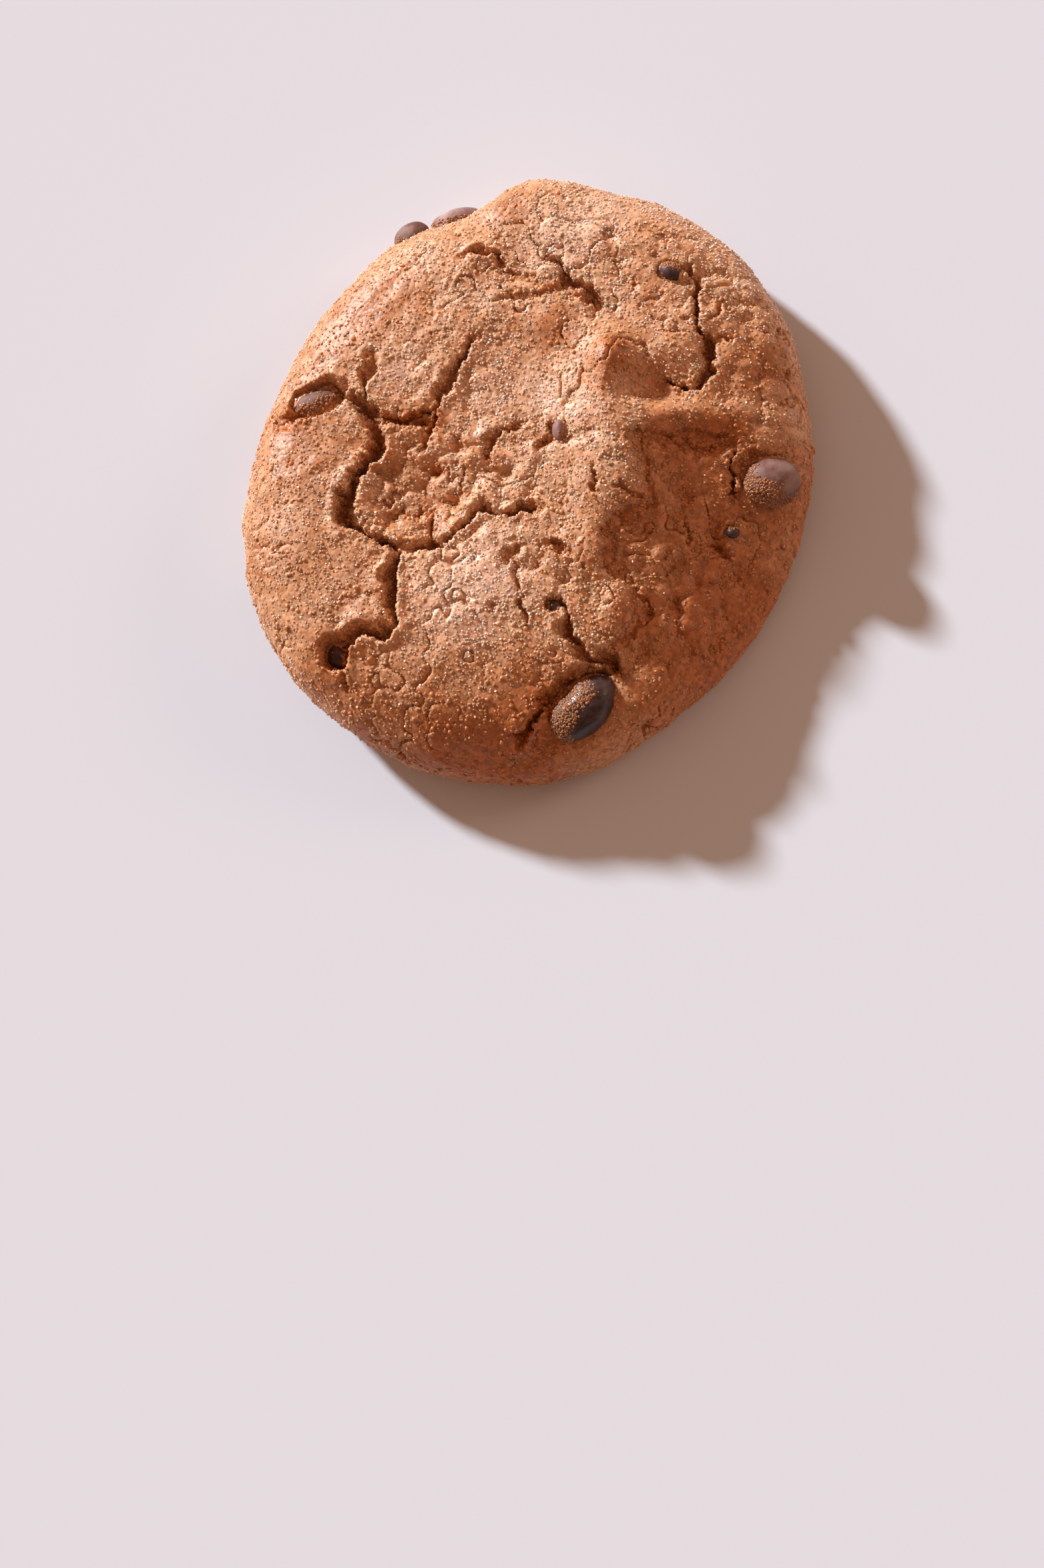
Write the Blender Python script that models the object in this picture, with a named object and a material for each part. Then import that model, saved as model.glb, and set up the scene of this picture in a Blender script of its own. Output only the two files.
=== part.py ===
"""A thick chocolate chip cookie lying flat with its cracked face up.

The dough is one solid: a round-sided disc with a flat base, whose skin is raised by
mounds and ridges and torn open by cracks. Each chocolate chip is a solid of its own,
in a pocket of the dough that clears it by a small gap.

X points to the right over the face, Y away from the viewer and Z up.
"""

import itertools
import math
from dataclasses import dataclass

import bmesh
import bpy
import numpy as np
from mathutils.bvhtree import BVHTree

MM = 0.001

# Driving dimensions.
RIM_RADIUS = 33.4 * MM
RIM_STRETCH = 2.05 * MM
RIM_TURN = 60.0
FACE_HEIGHT = 12.0 * MM
MIDDLE_HEIGHT = 5.8 * MM
SHOULDER_WIDTH = 8.0 * MM
FOOT_WIDTH = 5.0 * MM
CHIP_GAP = 0.35 * MM

# How the skin wanders from its plain shape, each as a size and the cell it varies over.
CRACK_SWAY_MM = 0.5
CRACK_SWAY_CELL_MM = 2.4
SWELL_MM = 0.35
SWELL_CELL_MM = 9.0
LUMP_MM = 0.22
LUMP_CELL_MM = 3.6
CHIP_DENT_SHARE = 0.07
CHIP_DENT_CELL = 0.9

# A crack's side narrower than this is torn sheer, in millimetres.
CRISP_WIDTH = 1.3
# The face's relief fades in over this share of its height above the widest part,
# and the lumps over this share above the ground.
FACE_FADE = 0.4
FOOT_FADE = 0.25

# How finely the skin is laid out, and how far it is thinned afterwards.
FACE_CELLS = 176
DOUGH_TRIANGLES = 8400
UNTANGLE_ROUNDS = 20
UNTANGLE_EASE = 0.5
CHIP_RINGS = 8
CHIP_SIDES = 12

SEED = 27
NOISE_SIZE = 32

DOUGH_COLOUR = (0.50, 0.24, 0.10, 1.0)
CHIP_COLOUR = (0.045, 0.018, 0.014, 1.0)
DOUGH_ROUGHNESS = 0.85
CHIP_ROUGHNESS = 0.45


@dataclass
class RimBulge:
    """A soft bulge of the rim, or a flat where its rise is negative, at an angle in degrees."""

    angle: float
    half_width: float
    rise: float


@dataclass
class Mound:
    """A soft swelling of the face, or a hollow where its rise is negative."""

    x: float
    y: float
    half_length: float
    half_width: float
    turn: float
    rise: float


@dataclass
class Crack:
    """A torn groove along a path, with a wall of its own width on either side."""

    depth: float
    left: float
    right: float
    path: list


@dataclass
class Chip:
    """A rounded lump of chocolate, set at a place and turned about the vertical."""

    x: float
    y: float
    z: float
    half_length: float
    half_width: float
    half_height: float
    turn: float


# The rim is an oval, longest along RIM_TURN, with these bulges in millimetres.
RIM_BULGES = {
    "left": RimBulge(203, 28, 0.9),
    "front": RimBulge(278, 15, 0.9),
    "back_peak": RimBulge(88, 10, 0.9),
    "back_notch": RimBulge(104, 8, -1.2),
    "right_flat": RimBulge(14, 13, -0.4),
}

# Places and sizes on the face are in millimetres. The swells raise or lower the whole
# thickness, the mounds only the face.
SWELLS = {
    "centre_rise": Mound(11, 3, 7, 12, 0, 2.5),
    "right_fall": Mound(30, -18, 15, 20, 0, -7),
    "front_fall": Mound(-4, -40, 22, 12, 0, -5),
}

MOUNDS = {
    "front_plate": Mound(-4, -15, 10, 7, 0, 0.8),
    "left_plate": Mound(-25, -2, 5, 9, 0, 0.5),
    "back_left": Mound(-9, 16, 9, 7, 30, 0.8),
    "round_plate": Mound(3, 17.3, 4.5, 2.6, 0, 0.6),
    "knob": Mound(10.6, 13.2, 2.8, 2.5, 0, 1.7),
    "knob_crest": Mound(9.8, 9.2, 2.0, 4.2, 0, 1.2),
    "cross_ridge": Mound(18.5, 5.6, 7.5, 1.8, 0, 1.2),
    "back_right_plate": Mound(18.0, 12.8, 2.8, 4.0, 0, 0.9),
    "basin": Mound(15.8, 8.8, 3.0, 2.4, 0, -1.6),
    "crumbly_hollow": Mound(-12, -3, 6, 5.5, 0, -1.6),
    "crest_shelf": Mound(11.4, -1.0, 2.6, 4.6, 0, 0.7),
    "crest_middle": Mound(7.8, -9.5, 2.4, 3.8, 0, 1.0),
    "crest_front": Mound(11.0, -16.2, 2.6, 3.0, 0, 1.2),
    "crest_foot": Mound(7.8, -21.5, 2.2, 2.6, 0, 0.7),
    "chip_pit": Mound(7.2, -26.4, 4.8, 2.6, 47, -2.2),
}

CRACKS = {
    "left_valley": Crack(3.6, 2.1, 1.1, [
        (-20, 9), (-18, 7), (-16.4, 3.8), (-18, 1.4), (-20.2, -2), (-20.8, -4.4),
        (-19, -7), (-16.5, -7.7), (-14.2, -8.9)]),
    "left_hollow": Crack(3.2, 2.2, 1.0, [
        (-27.5, 6.4), (-25.4, 8.6), (-22.8, 9.6), (-20.2, 9.2), (-18.6, 7.6)]),
    "back_plate_left": Crack(1.3, 0.9, 0.9, [
        (-17.8, 7.4), (-18.3, 10.2), (-17.2, 12.5), (-16.8, 14.5)]),
    "back_plate_foot": Crack(2.0, 0.8, 2.6, [
        (-17.2, 7.0), (-14.5, 6.6), (-12, 6.9), (-9.8, 7.6)]),
    "back_plate_right": Crack(1.7, 0.9, 0.8, [
        (-11.4, 2.5), (-10.3, 6), (-9.2, 9), (-7.6, 11.8), (-5, 15.8)]),
    "long_crack": Crack(3.6, 0.8, 2.8, [
        (-14.2, -8.9), (-14.8, -12), (-14.6, -15), (-14.4, -17.8), (-16, -18.8),
        (-19, -18.6), (-21.6, -21.4)]),
    "diagonal_crack": Crack(2.6, 2.0, 0.8, [
        (-13.8, -9.2), (-10, -9.0), (-7.2, -7.4), (-5.6, -5.3), (-2.5, -5.2), (1.6, -4.9)]),
    "crescent_left": Crack(1.2, 0.8, 0.8, [
        (-2.8, -10.6), (-1, -10.3), (0.6, -9.4)]),
    "crescent_right": Crack(1.4, 0.8, 0.8, [
        (2, -8.6), (3.5, -8.7), (5.7, -10.7)]),
    "front_crack": Crack(2.6, 0.8, 1.7, [
        (3.9, -15.2), (4.8, -17), (5.8, -19.3), (7.4, -21.8), (9.6, -22.8), (10.4, -24.2)]),
    "chip_groove": Crack(2.6, 1.1, 1.2, [
        (9.5, -23.9), (6.5, -24), (4.2, -25), (2, -27.6), (-0.8, -31)]),
    "back_hook": Crack(1.7, 0.9, 0.9, [
        (-7.2, 25.3), (-5.8, 26.5), (-2.9, 25.4), (-2.4, 23.4)]),
    "back_crack": Crack(2.1, 0.9, 1.0, [
        (3.3, 24.8), (4.9, 23.6), (5.4, 21.7), (7.3, 21), (8.8, 19), (8.4, 17.2)]),
    "right_crack": Crack(2.4, 0.9, 1.0, [
        (18.3, 23), (20.4, 20.6), (19.9, 17.2), (21.2, 14.2), (21.9, 10.4), (20, 8.2),
        (16.5, 9.5)]),
    "chip_side_gap": Crack(2.2, 1.0, 0.8, [
        (24.4, 1.6), (23.8, -1), (23.4, -3.7)]),
    "centre_plate": Crack(1.3, 0.8, 1.5, [
        (0, 5), (-2.8, 3.8), (-3.9, 2), (-3.2, 0.3)]),
    "centre_slit": Crack(1.4, 0.8, 0.8, [
        (3.6, 5.6), (3.6, 3.6), (2.2, 2.3)]),
    "front_slit": Crack(1.3, 0.7, 0.7, [
        (0, -14.6), (0.5, -16.6), (0.7, -18.7)]),
    "ridge_drop": Crack(1.0, 1.8, 3.0, [
        (12.5, 2.4), (15, 2.2), (18, 2.2), (20.3, 1.8), (25, 2.2)]),
    "step_down": Crack(0.4, 5.9, 1.5, [
        (13.8, 0), (14.2, -4.4), (10.6, -7), (9.9, -12), (13.2, -15.5), (12.5, -19),
        (10, -22)]),
}

CHIPS = {
    "chip_front": Chip(6.6, -27.0, 8.1, 4.6, 2.8, 2.6, 47),
    "chip_right": Chip(27.6, -1.6, 7.6, 3.3, 3.0, 2.4, 10),
    "chip_back_right": Chip(17.0, 22.2, 11.3, 1.4, 1.1, 1.2, -20),
    "chip_left_hollow": Chip(-23.8, 9.2, 9.3, 3.0, 1.6, 1.6, 15),
    "chip_left_crack": Chip(-21.5, -20.3, 8.4, 1.3, 1.6, 1.3, 0),
    "chip_centre": Chip(4.4, 4.0, 12.5, 0.8, 1.3, 0.9, 0),
    "chip_front_speck": Chip(3.4, -15.8, 10.9, 0.8, 0.7, 0.6, 0),
    "chip_right_speck": Chip(23.2, -7.4, 7.4, 0.8, 0.7, 0.7, 0),
    "chip_rim_back": Chip(-13.5, 29.1, 7.0, 2.1, 1.7, 1.6, 25),
    "chip_rim_long": Chip(-8.2, 30.8, 7.0, 3.0, 1.5, 1.8, 15),
    "chip_side_left": Chip(-30.7, -11.5, 3.9, 1.9, 2.6, 1.9, 20),
    "chip_side_back": Chip(8.8, 32.6, 3.9, 2.2, 1.6, 1.6, -15),
}


def clear_scene():
    """Take away every object of the open scene."""
    for item in list(bpy.data.objects):
        bpy.data.objects.remove(item, do_unlink=True)


def smooth_step(share):
    """Ease a share from 0 to 1."""
    share = np.clip(share, 0.0, 1.0)
    return share * share * (3.0 - 2.0 * share)


class Noise:
    """Smooth seeded noise between -1 and 1, with features of one cell size."""

    def __init__(self, cell, seed):
        self.cell = cell
        self.values = np.random.default_rng(seed).uniform(-1.0, 1.0, (NOISE_SIZE,) * 3)

    def at(self, points):
        """Return the noise at each point."""
        cells = points / self.cell
        floors = np.floor(cells).astype(int)
        blend = smooth_step(cells - floors)
        total = np.zeros(len(points))
        for corner in itertools.product((0, 1), repeat=3):
            weight = np.prod(np.where(corner, blend, 1.0 - blend), axis=1)
            column, row, layer = ((floors + corner) % NOISE_SIZE).T
            total += weight * self.values[column, row, layer]
        return total


def rim_radius(angles):
    """Return the plan radius of the widest part at each angle: an oval with soft bulges."""
    degrees = np.degrees(angles)
    radius = RIM_RADIUS + RIM_STRETCH * np.cos(2.0 * np.radians(degrees - RIM_TURN))
    for bulge in RIM_BULGES.values():
        away = (degrees - bulge.angle + 180.0) % 360.0 - 180.0
        radius = radius + bulge.rise * MM * np.exp(-(away / bulge.half_width) ** 2)
    return radius


def disc_grid(cells):
    """Return the share of the way out, the angle and the quads of a square bent to a disc."""
    steps = np.linspace(-1.0, 1.0, cells + 1)
    across, along = (line.ravel() for line in np.meshgrid(steps, steps))
    share = np.maximum(np.abs(across), np.abs(along))
    wide = np.abs(across) >= np.abs(along)
    safe = np.where(share > 0.0, share, 1.0)
    quarter = math.pi / 4.0
    angle = np.where(wide, quarter * along / safe * np.sign(across),
                     2.0 * quarter - quarter * across / safe * np.sign(along))
    angle = np.where(wide & (across < 0.0), angle + math.pi, angle)
    angle = np.where(~wide & (along < 0.0), angle + math.pi, angle)
    first = (np.arange(cells)[:, None] * (cells + 1) + np.arange(cells)).ravel()
    quads = np.stack([first, first + 1, first + cells + 2, first + cells + 1], axis=1)
    return share, angle, quads


def mound_rise(spots, mound):
    """Return how far a mound lifts each spot of the face."""
    turn = math.radians(mound.turn)
    offset = spots - np.array([mound.x, mound.y])
    along = offset @ np.array([math.cos(turn), math.sin(turn)]) / mound.half_length
    across = offset @ np.array([-math.sin(turn), math.cos(turn)]) / mound.half_width
    return mound.rise * np.exp(-(along ** 2 + across ** 2))


def bare_skin(share, angle):
    """Return the plain disc's points and normals, and the share of the face's relief."""
    radius = rim_radius(angle)
    flat = radius - SHOULDER_WIDTH
    face_rise = FACE_HEIGHT - MIDDLE_HEIGHT
    shoulder = math.pi / 2.0 * math.hypot(SHOULDER_WIDTH, face_rise) / math.sqrt(2.0)
    foot = math.pi / 2.0 * math.hypot(FOOT_WIDTH, MIDDLE_HEIGHT) / math.sqrt(2.0)
    walked = share * (flat + shoulder + foot)
    upper = np.clip((walked - flat) / shoulder, 0.0, 1.0) * math.pi / 2.0
    lower = np.clip((walked - flat - shoulder) / foot, 0.0, 1.0) * math.pi / 2.0
    on_foot = walked > flat + shoulder
    reach = np.where(on_foot, radius - FOOT_WIDTH * (1.0 - np.cos(lower)),
                     np.minimum(walked, flat) + SHOULDER_WIDTH * np.sin(upper))
    height = np.where(on_foot, MIDDLE_HEIGHT * (1.0 - np.sin(lower)),
                      MIDDLE_HEIGHT + face_rise * np.cos(upper))
    out = np.where(on_foot, np.cos(lower) / FOOT_WIDTH, np.sin(upper) / SHOULDER_WIDTH)
    rise = np.where(on_foot, -np.sin(lower) / MIDDLE_HEIGHT, np.cos(upper) / face_rise)
    upside = smooth_step((height - MIDDLE_HEIGHT) / (FACE_FADE * FACE_HEIGHT))
    points = np.stack([reach * np.cos(angle), reach * np.sin(angle), height], axis=1)
    swell = sum(mound_rise(points[:, :2] / MM, mound) for mound in SWELLS.values())
    points[:, 2] *= 1.0 + swell * MM / FACE_HEIGHT
    normals = np.stack([out * np.cos(angle), out * np.sin(angle), rise], axis=1)
    return points, normals / np.linalg.norm(normals, axis=1, keepdims=True), upside


def path_distance(spots, path):
    """Return each spot's distance to a path, positive on the left of its direction."""
    nearest = np.full(len(spots), np.inf)
    signed = np.full(len(spots), np.inf)
    corners = np.array(path, dtype=float)
    for start, end in zip(corners[:-1], corners[1:]):
        length = np.linalg.norm(end - start)
        along = (end - start) / length
        offset = spots - start
        step = np.clip(offset @ along, 0.0, length)
        distance = np.linalg.norm(offset - step[:, None] * along, axis=1)
        left = along[0] * offset[:, 1] - along[1] * offset[:, 0] > 0.0
        nearer = distance < nearest
        nearest[nearer] = distance[nearer]
        signed[nearer] = np.where(left, distance, -distance)[nearer]
    return signed


def crack_depth(spots, crack):
    """Return how deep a crack is at each spot: a narrow side is crisp, a wide one eased."""
    distance = path_distance(spots, crack.path)
    width = np.where(distance > 0.0, crack.left, crack.right)
    wall = np.clip(1.0 - np.abs(distance) / width, 0.0, 1.0)
    return crack.depth * np.where(width < CRISP_WIDTH, wall * (2.0 - wall), smooth_step(wall))


def relief(points, upside):
    """Return in metres how far the skin moves out at each point."""
    in_mm = points / MM
    sway = [Noise(CRACK_SWAY_CELL_MM, SEED + axis).at(in_mm) for axis in range(2)]
    spots = in_mm[:, :2] + CRACK_SWAY_MM * np.stack(sway, axis=1)
    lift = sum(mound_rise(spots, mound) for mound in MOUNDS.values())
    torn = np.max([crack_depth(spots, crack) for crack in CRACKS.values()], axis=0)
    swell = SWELL_MM * Noise(SWELL_CELL_MM, SEED + 2).at(in_mm)
    lumps = LUMP_MM * Noise(LUMP_CELL_MM, SEED + 3).at(in_mm)
    foot_fade = smooth_step(points[:, 2] / (FOOT_FADE * FACE_HEIGHT))
    return MM * (upside * (lift - torn) + foot_fade * (swell + lumps))


def make_material(name, colour, roughness):
    """Make a plain opaque material."""
    material = bpy.data.materials.new(name)
    material.use_nodes = True
    shader = material.node_tree.nodes["Principled BSDF"]
    shader.inputs["Base Color"].default_value = colour
    shader.inputs["Roughness"].default_value = roughness
    shader.inputs["Metallic"].default_value = 0.0
    return material


def add_object(name, mesh, material):
    """Put a mesh in the scene under a name, smooth and with its material."""
    mesh.materials.clear()
    mesh.materials.append(material)
    mesh.shade_smooth()
    item = bpy.data.objects.new(name, mesh)
    bpy.context.scene.collection.objects.link(item)
    return item


def baked_mesh(item):
    """Return a plain mesh of an object as its modifiers leave it."""
    graph = bpy.context.evaluated_depsgraph_get()
    return bpy.data.meshes.new_from_object(item.evaluated_get(graph))


def remesh_with(item, mesh):
    """Give an object a finished mesh and drop its modifiers."""
    item.modifiers.clear()
    item.data = mesh


def crossing_corners(work):
    """Return the corners of every face that cuts through another one."""
    work.faces.ensure_lookup_table()
    tree = BVHTree.FromBMesh(work)
    tangled = set()
    for first, second in tree.overlap(tree):
        corners = set(work.faces[first].verts)
        others = set(work.faces[second].verts)
        if first != second and not corners & others:
            tangled |= corners | others
    return tangled


def untangle(mesh):
    """Ease apart the few faces that the thinning folded over each other."""
    work = bmesh.new()
    work.from_mesh(mesh)
    for _ in range(UNTANGLE_ROUNDS):
        tangled = crossing_corners(work)
        if not tangled:
            break
        bmesh.ops.smooth_vert(work, verts=list(tangled), factor=UNTANGLE_EASE,
                              use_axis_x=True, use_axis_y=True, use_axis_z=True)
    work.to_mesh(mesh)
    work.free()


def close_base(mesh):
    """Close the open foot of the skin with one flat face at the ground."""
    work = bmesh.new()
    work.from_mesh(mesh)
    border = [edge for edge in work.edges if edge.is_boundary]
    for edge in border:
        for corner in edge.verts:
            corner.co.z = 0.0
    bmesh.ops.holes_fill(work, edges=border, sides=0)
    bmesh.ops.recalc_face_normals(work, faces=work.faces)
    work.to_mesh(mesh)
    work.free()


def keep_largest_body(mesh):
    """Drop scraps that a cut left loose, so that one body stays."""
    work = bmesh.new()
    work.from_mesh(mesh)
    unseen = set(work.verts)
    bodies = []
    while unseen:
        front = [unseen.pop()]
        body = list(front)
        while front:
            corner = front.pop()
            near = [edge.other_vert(corner) for edge in corner.link_edges]
            fresh = [other for other in near if other in unseen]
            unseen.difference_update(fresh)
            front.extend(fresh)
            body.extend(fresh)
        bodies.append(body)
    bodies.sort(key=len)
    scraps = [corner for body in bodies[:-1] for corner in body]
    bmesh.ops.delete(work, geom=scraps, context="VERTS")
    work.to_mesh(mesh)
    work.free()


def make_dough(material):
    """Build the dough: the torn skin from a fine grid, thinned, with a flat base."""
    share, angle, quads = disc_grid(FACE_CELLS)
    points, normals, upside = bare_skin(share, angle)
    points = points + normals * relief(points, upside)[:, None]
    mesh = bpy.data.meshes.new("cookie_dough")
    mesh.from_pydata(points.tolist(), [], quads.tolist())
    dough = add_object("cookie_dough", mesh, material)
    thinning = dough.modifiers.new("thinning", "DECIMATE")
    thinning.ratio = DOUGH_TRIANGLES / (2.0 * len(quads))
    thinned = baked_mesh(dough)
    untangle(thinned)
    close_base(thinned)
    remesh_with(dough, thinned)
    return dough


def chip_mesh(name, chip, grow, seed):
    """Return a rounded lump as large as the chip, grown evenly by a distance."""
    mesh = bpy.data.meshes.new(name)
    work = bmesh.new()
    bmesh.ops.create_uvsphere(work, u_segments=CHIP_SIDES, v_segments=CHIP_RINGS, radius=1.0)
    corners = np.array([corner.co for corner in work.verts])
    uneven = 1.0 + CHIP_DENT_SHARE * Noise(CHIP_DENT_CELL, seed).at(corners)
    half = np.array([chip.half_length, chip.half_width, chip.half_height]) * MM
    turn = math.radians(chip.turn)
    placed = corners * uneven[:, None] * (half + grow)
    along, across = placed[:, 0].copy(), placed[:, 1].copy()
    placed[:, 0] = along * math.cos(turn) - across * math.sin(turn)
    placed[:, 1] = along * math.sin(turn) + across * math.cos(turn)
    for corner, place in zip(work.verts, placed):
        corner.co = place
    work.to_mesh(mesh)
    work.free()
    return mesh


def make_chips(material):
    """Build every chip and return it with the cutter of its pocket."""
    pockets = bpy.data.collections.new("pockets")
    bpy.context.scene.collection.children.link(pockets)
    for number, (name, chip) in enumerate(CHIPS.items()):
        place = (chip.x * MM, chip.y * MM, chip.z * MM)
        lump = add_object(name, chip_mesh(name, chip, 0.0, SEED + number), material)
        lump.location = place
        pocket = bpy.data.objects.new(
            "pocket_" + name, chip_mesh("pocket_" + name, chip, CHIP_GAP, SEED + number))
        pockets.objects.link(pocket)
        pocket.location = place
        pocket.hide_render = True
        pocket.display_type = "WIRE"
    return pockets


def cut_pockets(dough, pockets):
    """Cut the chips' pockets out of the dough and drop any loose scrap."""
    cut = dough.modifiers.new("pockets", "BOOLEAN")
    cut.operation = "DIFFERENCE"
    cut.operand_type = "COLLECTION"
    cut.collection = pockets
    cut.solver = "EXACT"
    cut_mesh = baked_mesh(dough)
    keep_largest_body(cut_mesh)
    remesh_with(dough, cut_mesh)
    for pocket in list(pockets.objects):
        bpy.data.objects.remove(pocket, do_unlink=True)
    bpy.data.collections.remove(pockets)


def centre_on_origin():
    """Move everything so that the whole stands centred over the origin."""
    bpy.context.view_layer.update()
    items = list(bpy.data.objects)
    corners = np.array([item.matrix_world @ corner.co
                        for item in items for corner in item.data.vertices])
    low, high = corners.min(axis=0), corners.max(axis=0)
    for item in items:
        item.location.x -= (low[0] + high[0]) / 2.0
        item.location.y -= (low[1] + high[1]) / 2.0


def main():
    """Build the cookie."""
    clear_scene()
    dough = make_dough(make_material("baked dough", DOUGH_COLOUR, DOUGH_ROUGHNESS))
    pockets = make_chips(make_material("chocolate", CHIP_COLOUR, CHIP_ROUGHNESS))
    cut_pockets(dough, pockets)
    centre_on_origin()


main()
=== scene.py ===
"""Dress a thick baked chocolate chip cookie that lies with its cracked face up.

The dough is remade from the same rim, mounds and cracks as its solid, at a fine pitch,
with torn granular walls, hairline cracks and a pitted underside. Grains of crust, loose
crumbs and sugar crystals are spread over it by Geometry Nodes. Each chocolate chip is a
smooth melted lump with bloom and dough dust.

Lengths are in millimetres, and become metres where a mesh is made.
"""

import itertools
import logging
import math
from dataclasses import dataclass, field
from enum import Enum, IntEnum
from typing import Any

import bmesh
import bpy
import numpy as np
from mathutils import Matrix, Vector
from mathutils.kdtree import KDTree


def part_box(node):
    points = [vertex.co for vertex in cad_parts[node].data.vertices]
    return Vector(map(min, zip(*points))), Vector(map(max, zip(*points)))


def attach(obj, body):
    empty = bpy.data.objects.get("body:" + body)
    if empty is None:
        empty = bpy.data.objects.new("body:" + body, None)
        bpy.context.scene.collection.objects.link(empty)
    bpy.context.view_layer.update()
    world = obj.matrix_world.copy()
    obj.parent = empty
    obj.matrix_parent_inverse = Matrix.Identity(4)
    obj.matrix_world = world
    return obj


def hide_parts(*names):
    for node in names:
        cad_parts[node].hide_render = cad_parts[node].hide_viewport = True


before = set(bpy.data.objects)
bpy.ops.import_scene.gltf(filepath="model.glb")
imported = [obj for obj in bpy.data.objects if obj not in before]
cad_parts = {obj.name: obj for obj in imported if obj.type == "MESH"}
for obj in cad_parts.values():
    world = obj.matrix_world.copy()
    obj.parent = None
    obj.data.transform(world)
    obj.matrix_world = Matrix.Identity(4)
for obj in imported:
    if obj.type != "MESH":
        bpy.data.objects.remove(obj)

MM = 0.001
FULL_TURN = 2.0 * math.pi
QUARTER_TURN = math.pi / 2.0
TINY = 1e-9
NOISE_SIZE = 32
FAR_CELLS = 2.0
BROAD_CRACK = 4.0
CRISP_WIDTH = 1.3
TAPER_LENGTH = 1.6
TAPER_END = 0.35
LIP_WIDTH = 0.9
LIP_SHARE = 0.12
LIP_REACH = 3.0

Tree = bpy.types.NodeTree
Socket = bpy.types.NodeSocket

log = logging.getLogger("cookie")


def linear(hex_colour: str) -> tuple[float, float, float, float]:
    """Turn an sRGB hex colour to linear light.

    Args:
        hex_colour: a colour such as "#D9A273".

    Returns:
        Red, green, blue and an alpha of one.
    """
    parts = [int(hex_colour[start:start + 2], 16) / 255.0 for start in (1, 3, 5)]
    red, green, blue = (part / 12.92 if part <= 0.04045 else ((part + 0.055) / 1.055) ** 2.4
                        for part in parts)
    return red, green, blue, 1.0


def smooth_step(share: np.ndarray) -> np.ndarray:
    """Ease a share from 0 to 1."""
    share = np.clip(share, 0.0, 1.0)
    return share * share * (3.0 - 2.0 * share)


def ease_about(value: np.ndarray, half_width: float) -> np.ndarray:
    """Ease from 0 to 1 as a value passes zero, over a width on either side."""
    return smooth_step((value + half_width) / (2.0 * half_width))


def add_node(tree: Tree, kind: str, inputs: dict[Any, Any] | None = None,
             **settings: Any) -> bpy.types.Node:
    """Add a node to a tree, with its settings and what feeds it.

    Args:
        tree: the material or geometry tree.
        kind: the node's type name.
        inputs: for an input's name or number, a socket to link or a value to set.
        **settings: the node's own properties.

    Returns:
        The new node.
    """
    node = tree.nodes.new(kind)
    for name, value in settings.items():
        setattr(node, name, value)
    for key, value in (inputs or {}).items():
        if isinstance(value, Socket):
            tree.links.new(value, node.inputs[key])
        else:
            node.inputs[key].default_value = value
    return node


class MixSocket:
    """Numbers of the sockets of a Mix node, whose names repeat."""

    FACTOR = 0
    COLOUR_A = 6
    COLOUR_B = 7
    COLOUR_OUT = 2


def placed(name: str, data: bpy.types.ID) -> bpy.types.Object:
    """Make an object of a mesh, light or camera, and put it in the scene."""
    made = bpy.data.objects.new(name, data)
    bpy.context.scene.collection.objects.link(made)
    return made


def give_values(mesh: bpy.types.Mesh, name: str, values: Any) -> None:
    """Give a mesh one number per corner, under an attribute's name."""
    attribute = mesh.attributes.new(name, "FLOAT", "POINT")
    attribute.data.foreach_set("value", np.asarray(values, dtype=np.float32))


def box_mm(node: str) -> tuple[np.ndarray, np.ndarray]:
    """Return the low and the high corner of a solid's box."""
    low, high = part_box(node)
    return np.array(low) / MM, np.array(high) / MM


def noise_share(tree: Tree, place: Socket, size_mm: float,
                inputs: dict[str, float] | None = None) -> Socket:
    """Add cloudy noise with features of a real size, and return its share."""
    return add_node(tree, "ShaderNodeTexNoise", {
        "Vector": place, "Scale": 1.0 / (size_mm * MM), **(inputs or {})}).outputs["Fac"]


def attribute_share(tree: Tree, name: str) -> Socket:
    """Return the socket that reads one of the mesh's own attributes."""
    return add_node(tree, "ShaderNodeAttribute", attribute_name=name).outputs["Fac"]


def mapped(tree: Tree, value: Socket, start: float, end: float,
           first: float = 0.0, last: float = 1.0) -> Socket:
    """Map a value from its start and end to a first and a last result, and no further."""
    return add_node(tree, "ShaderNodeMapRange", {
        "Value": value, "From Min": start, "From Max": end,
        "To Min": first, "To Max": last}).outputs[0]


def mixed(tree: Tree, share: Any, first: Any, second: Any,
          blend_type: str = "MIX") -> Socket:
    """Mix two colours by a share, and return the colour."""
    return add_node(tree, "ShaderNodeMix", {
        MixSocket.FACTOR: share, MixSocket.COLOUR_A: first, MixSocket.COLOUR_B: second},
        data_type="RGBA", blend_type=blend_type).outputs[MixSocket.COLOUR_OUT]


def blank_material(name: str, settings: dict[str, Any]) -> tuple[bpy.types.Material, ...]:
    """Make a material whose shader has some set values.

    Args:
        name: what the material is, in plain words.
        settings: a value for each named input of the shader.

    Returns:
        The material, its tree and its shader.
    """
    material = bpy.data.materials.new(name)
    material.use_nodes = True
    shader = material.node_tree.nodes["Principled BSDF"]
    for key, value in settings.items():
        shader.inputs[key].default_value = value
    return material, material.node_tree, shader


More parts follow.
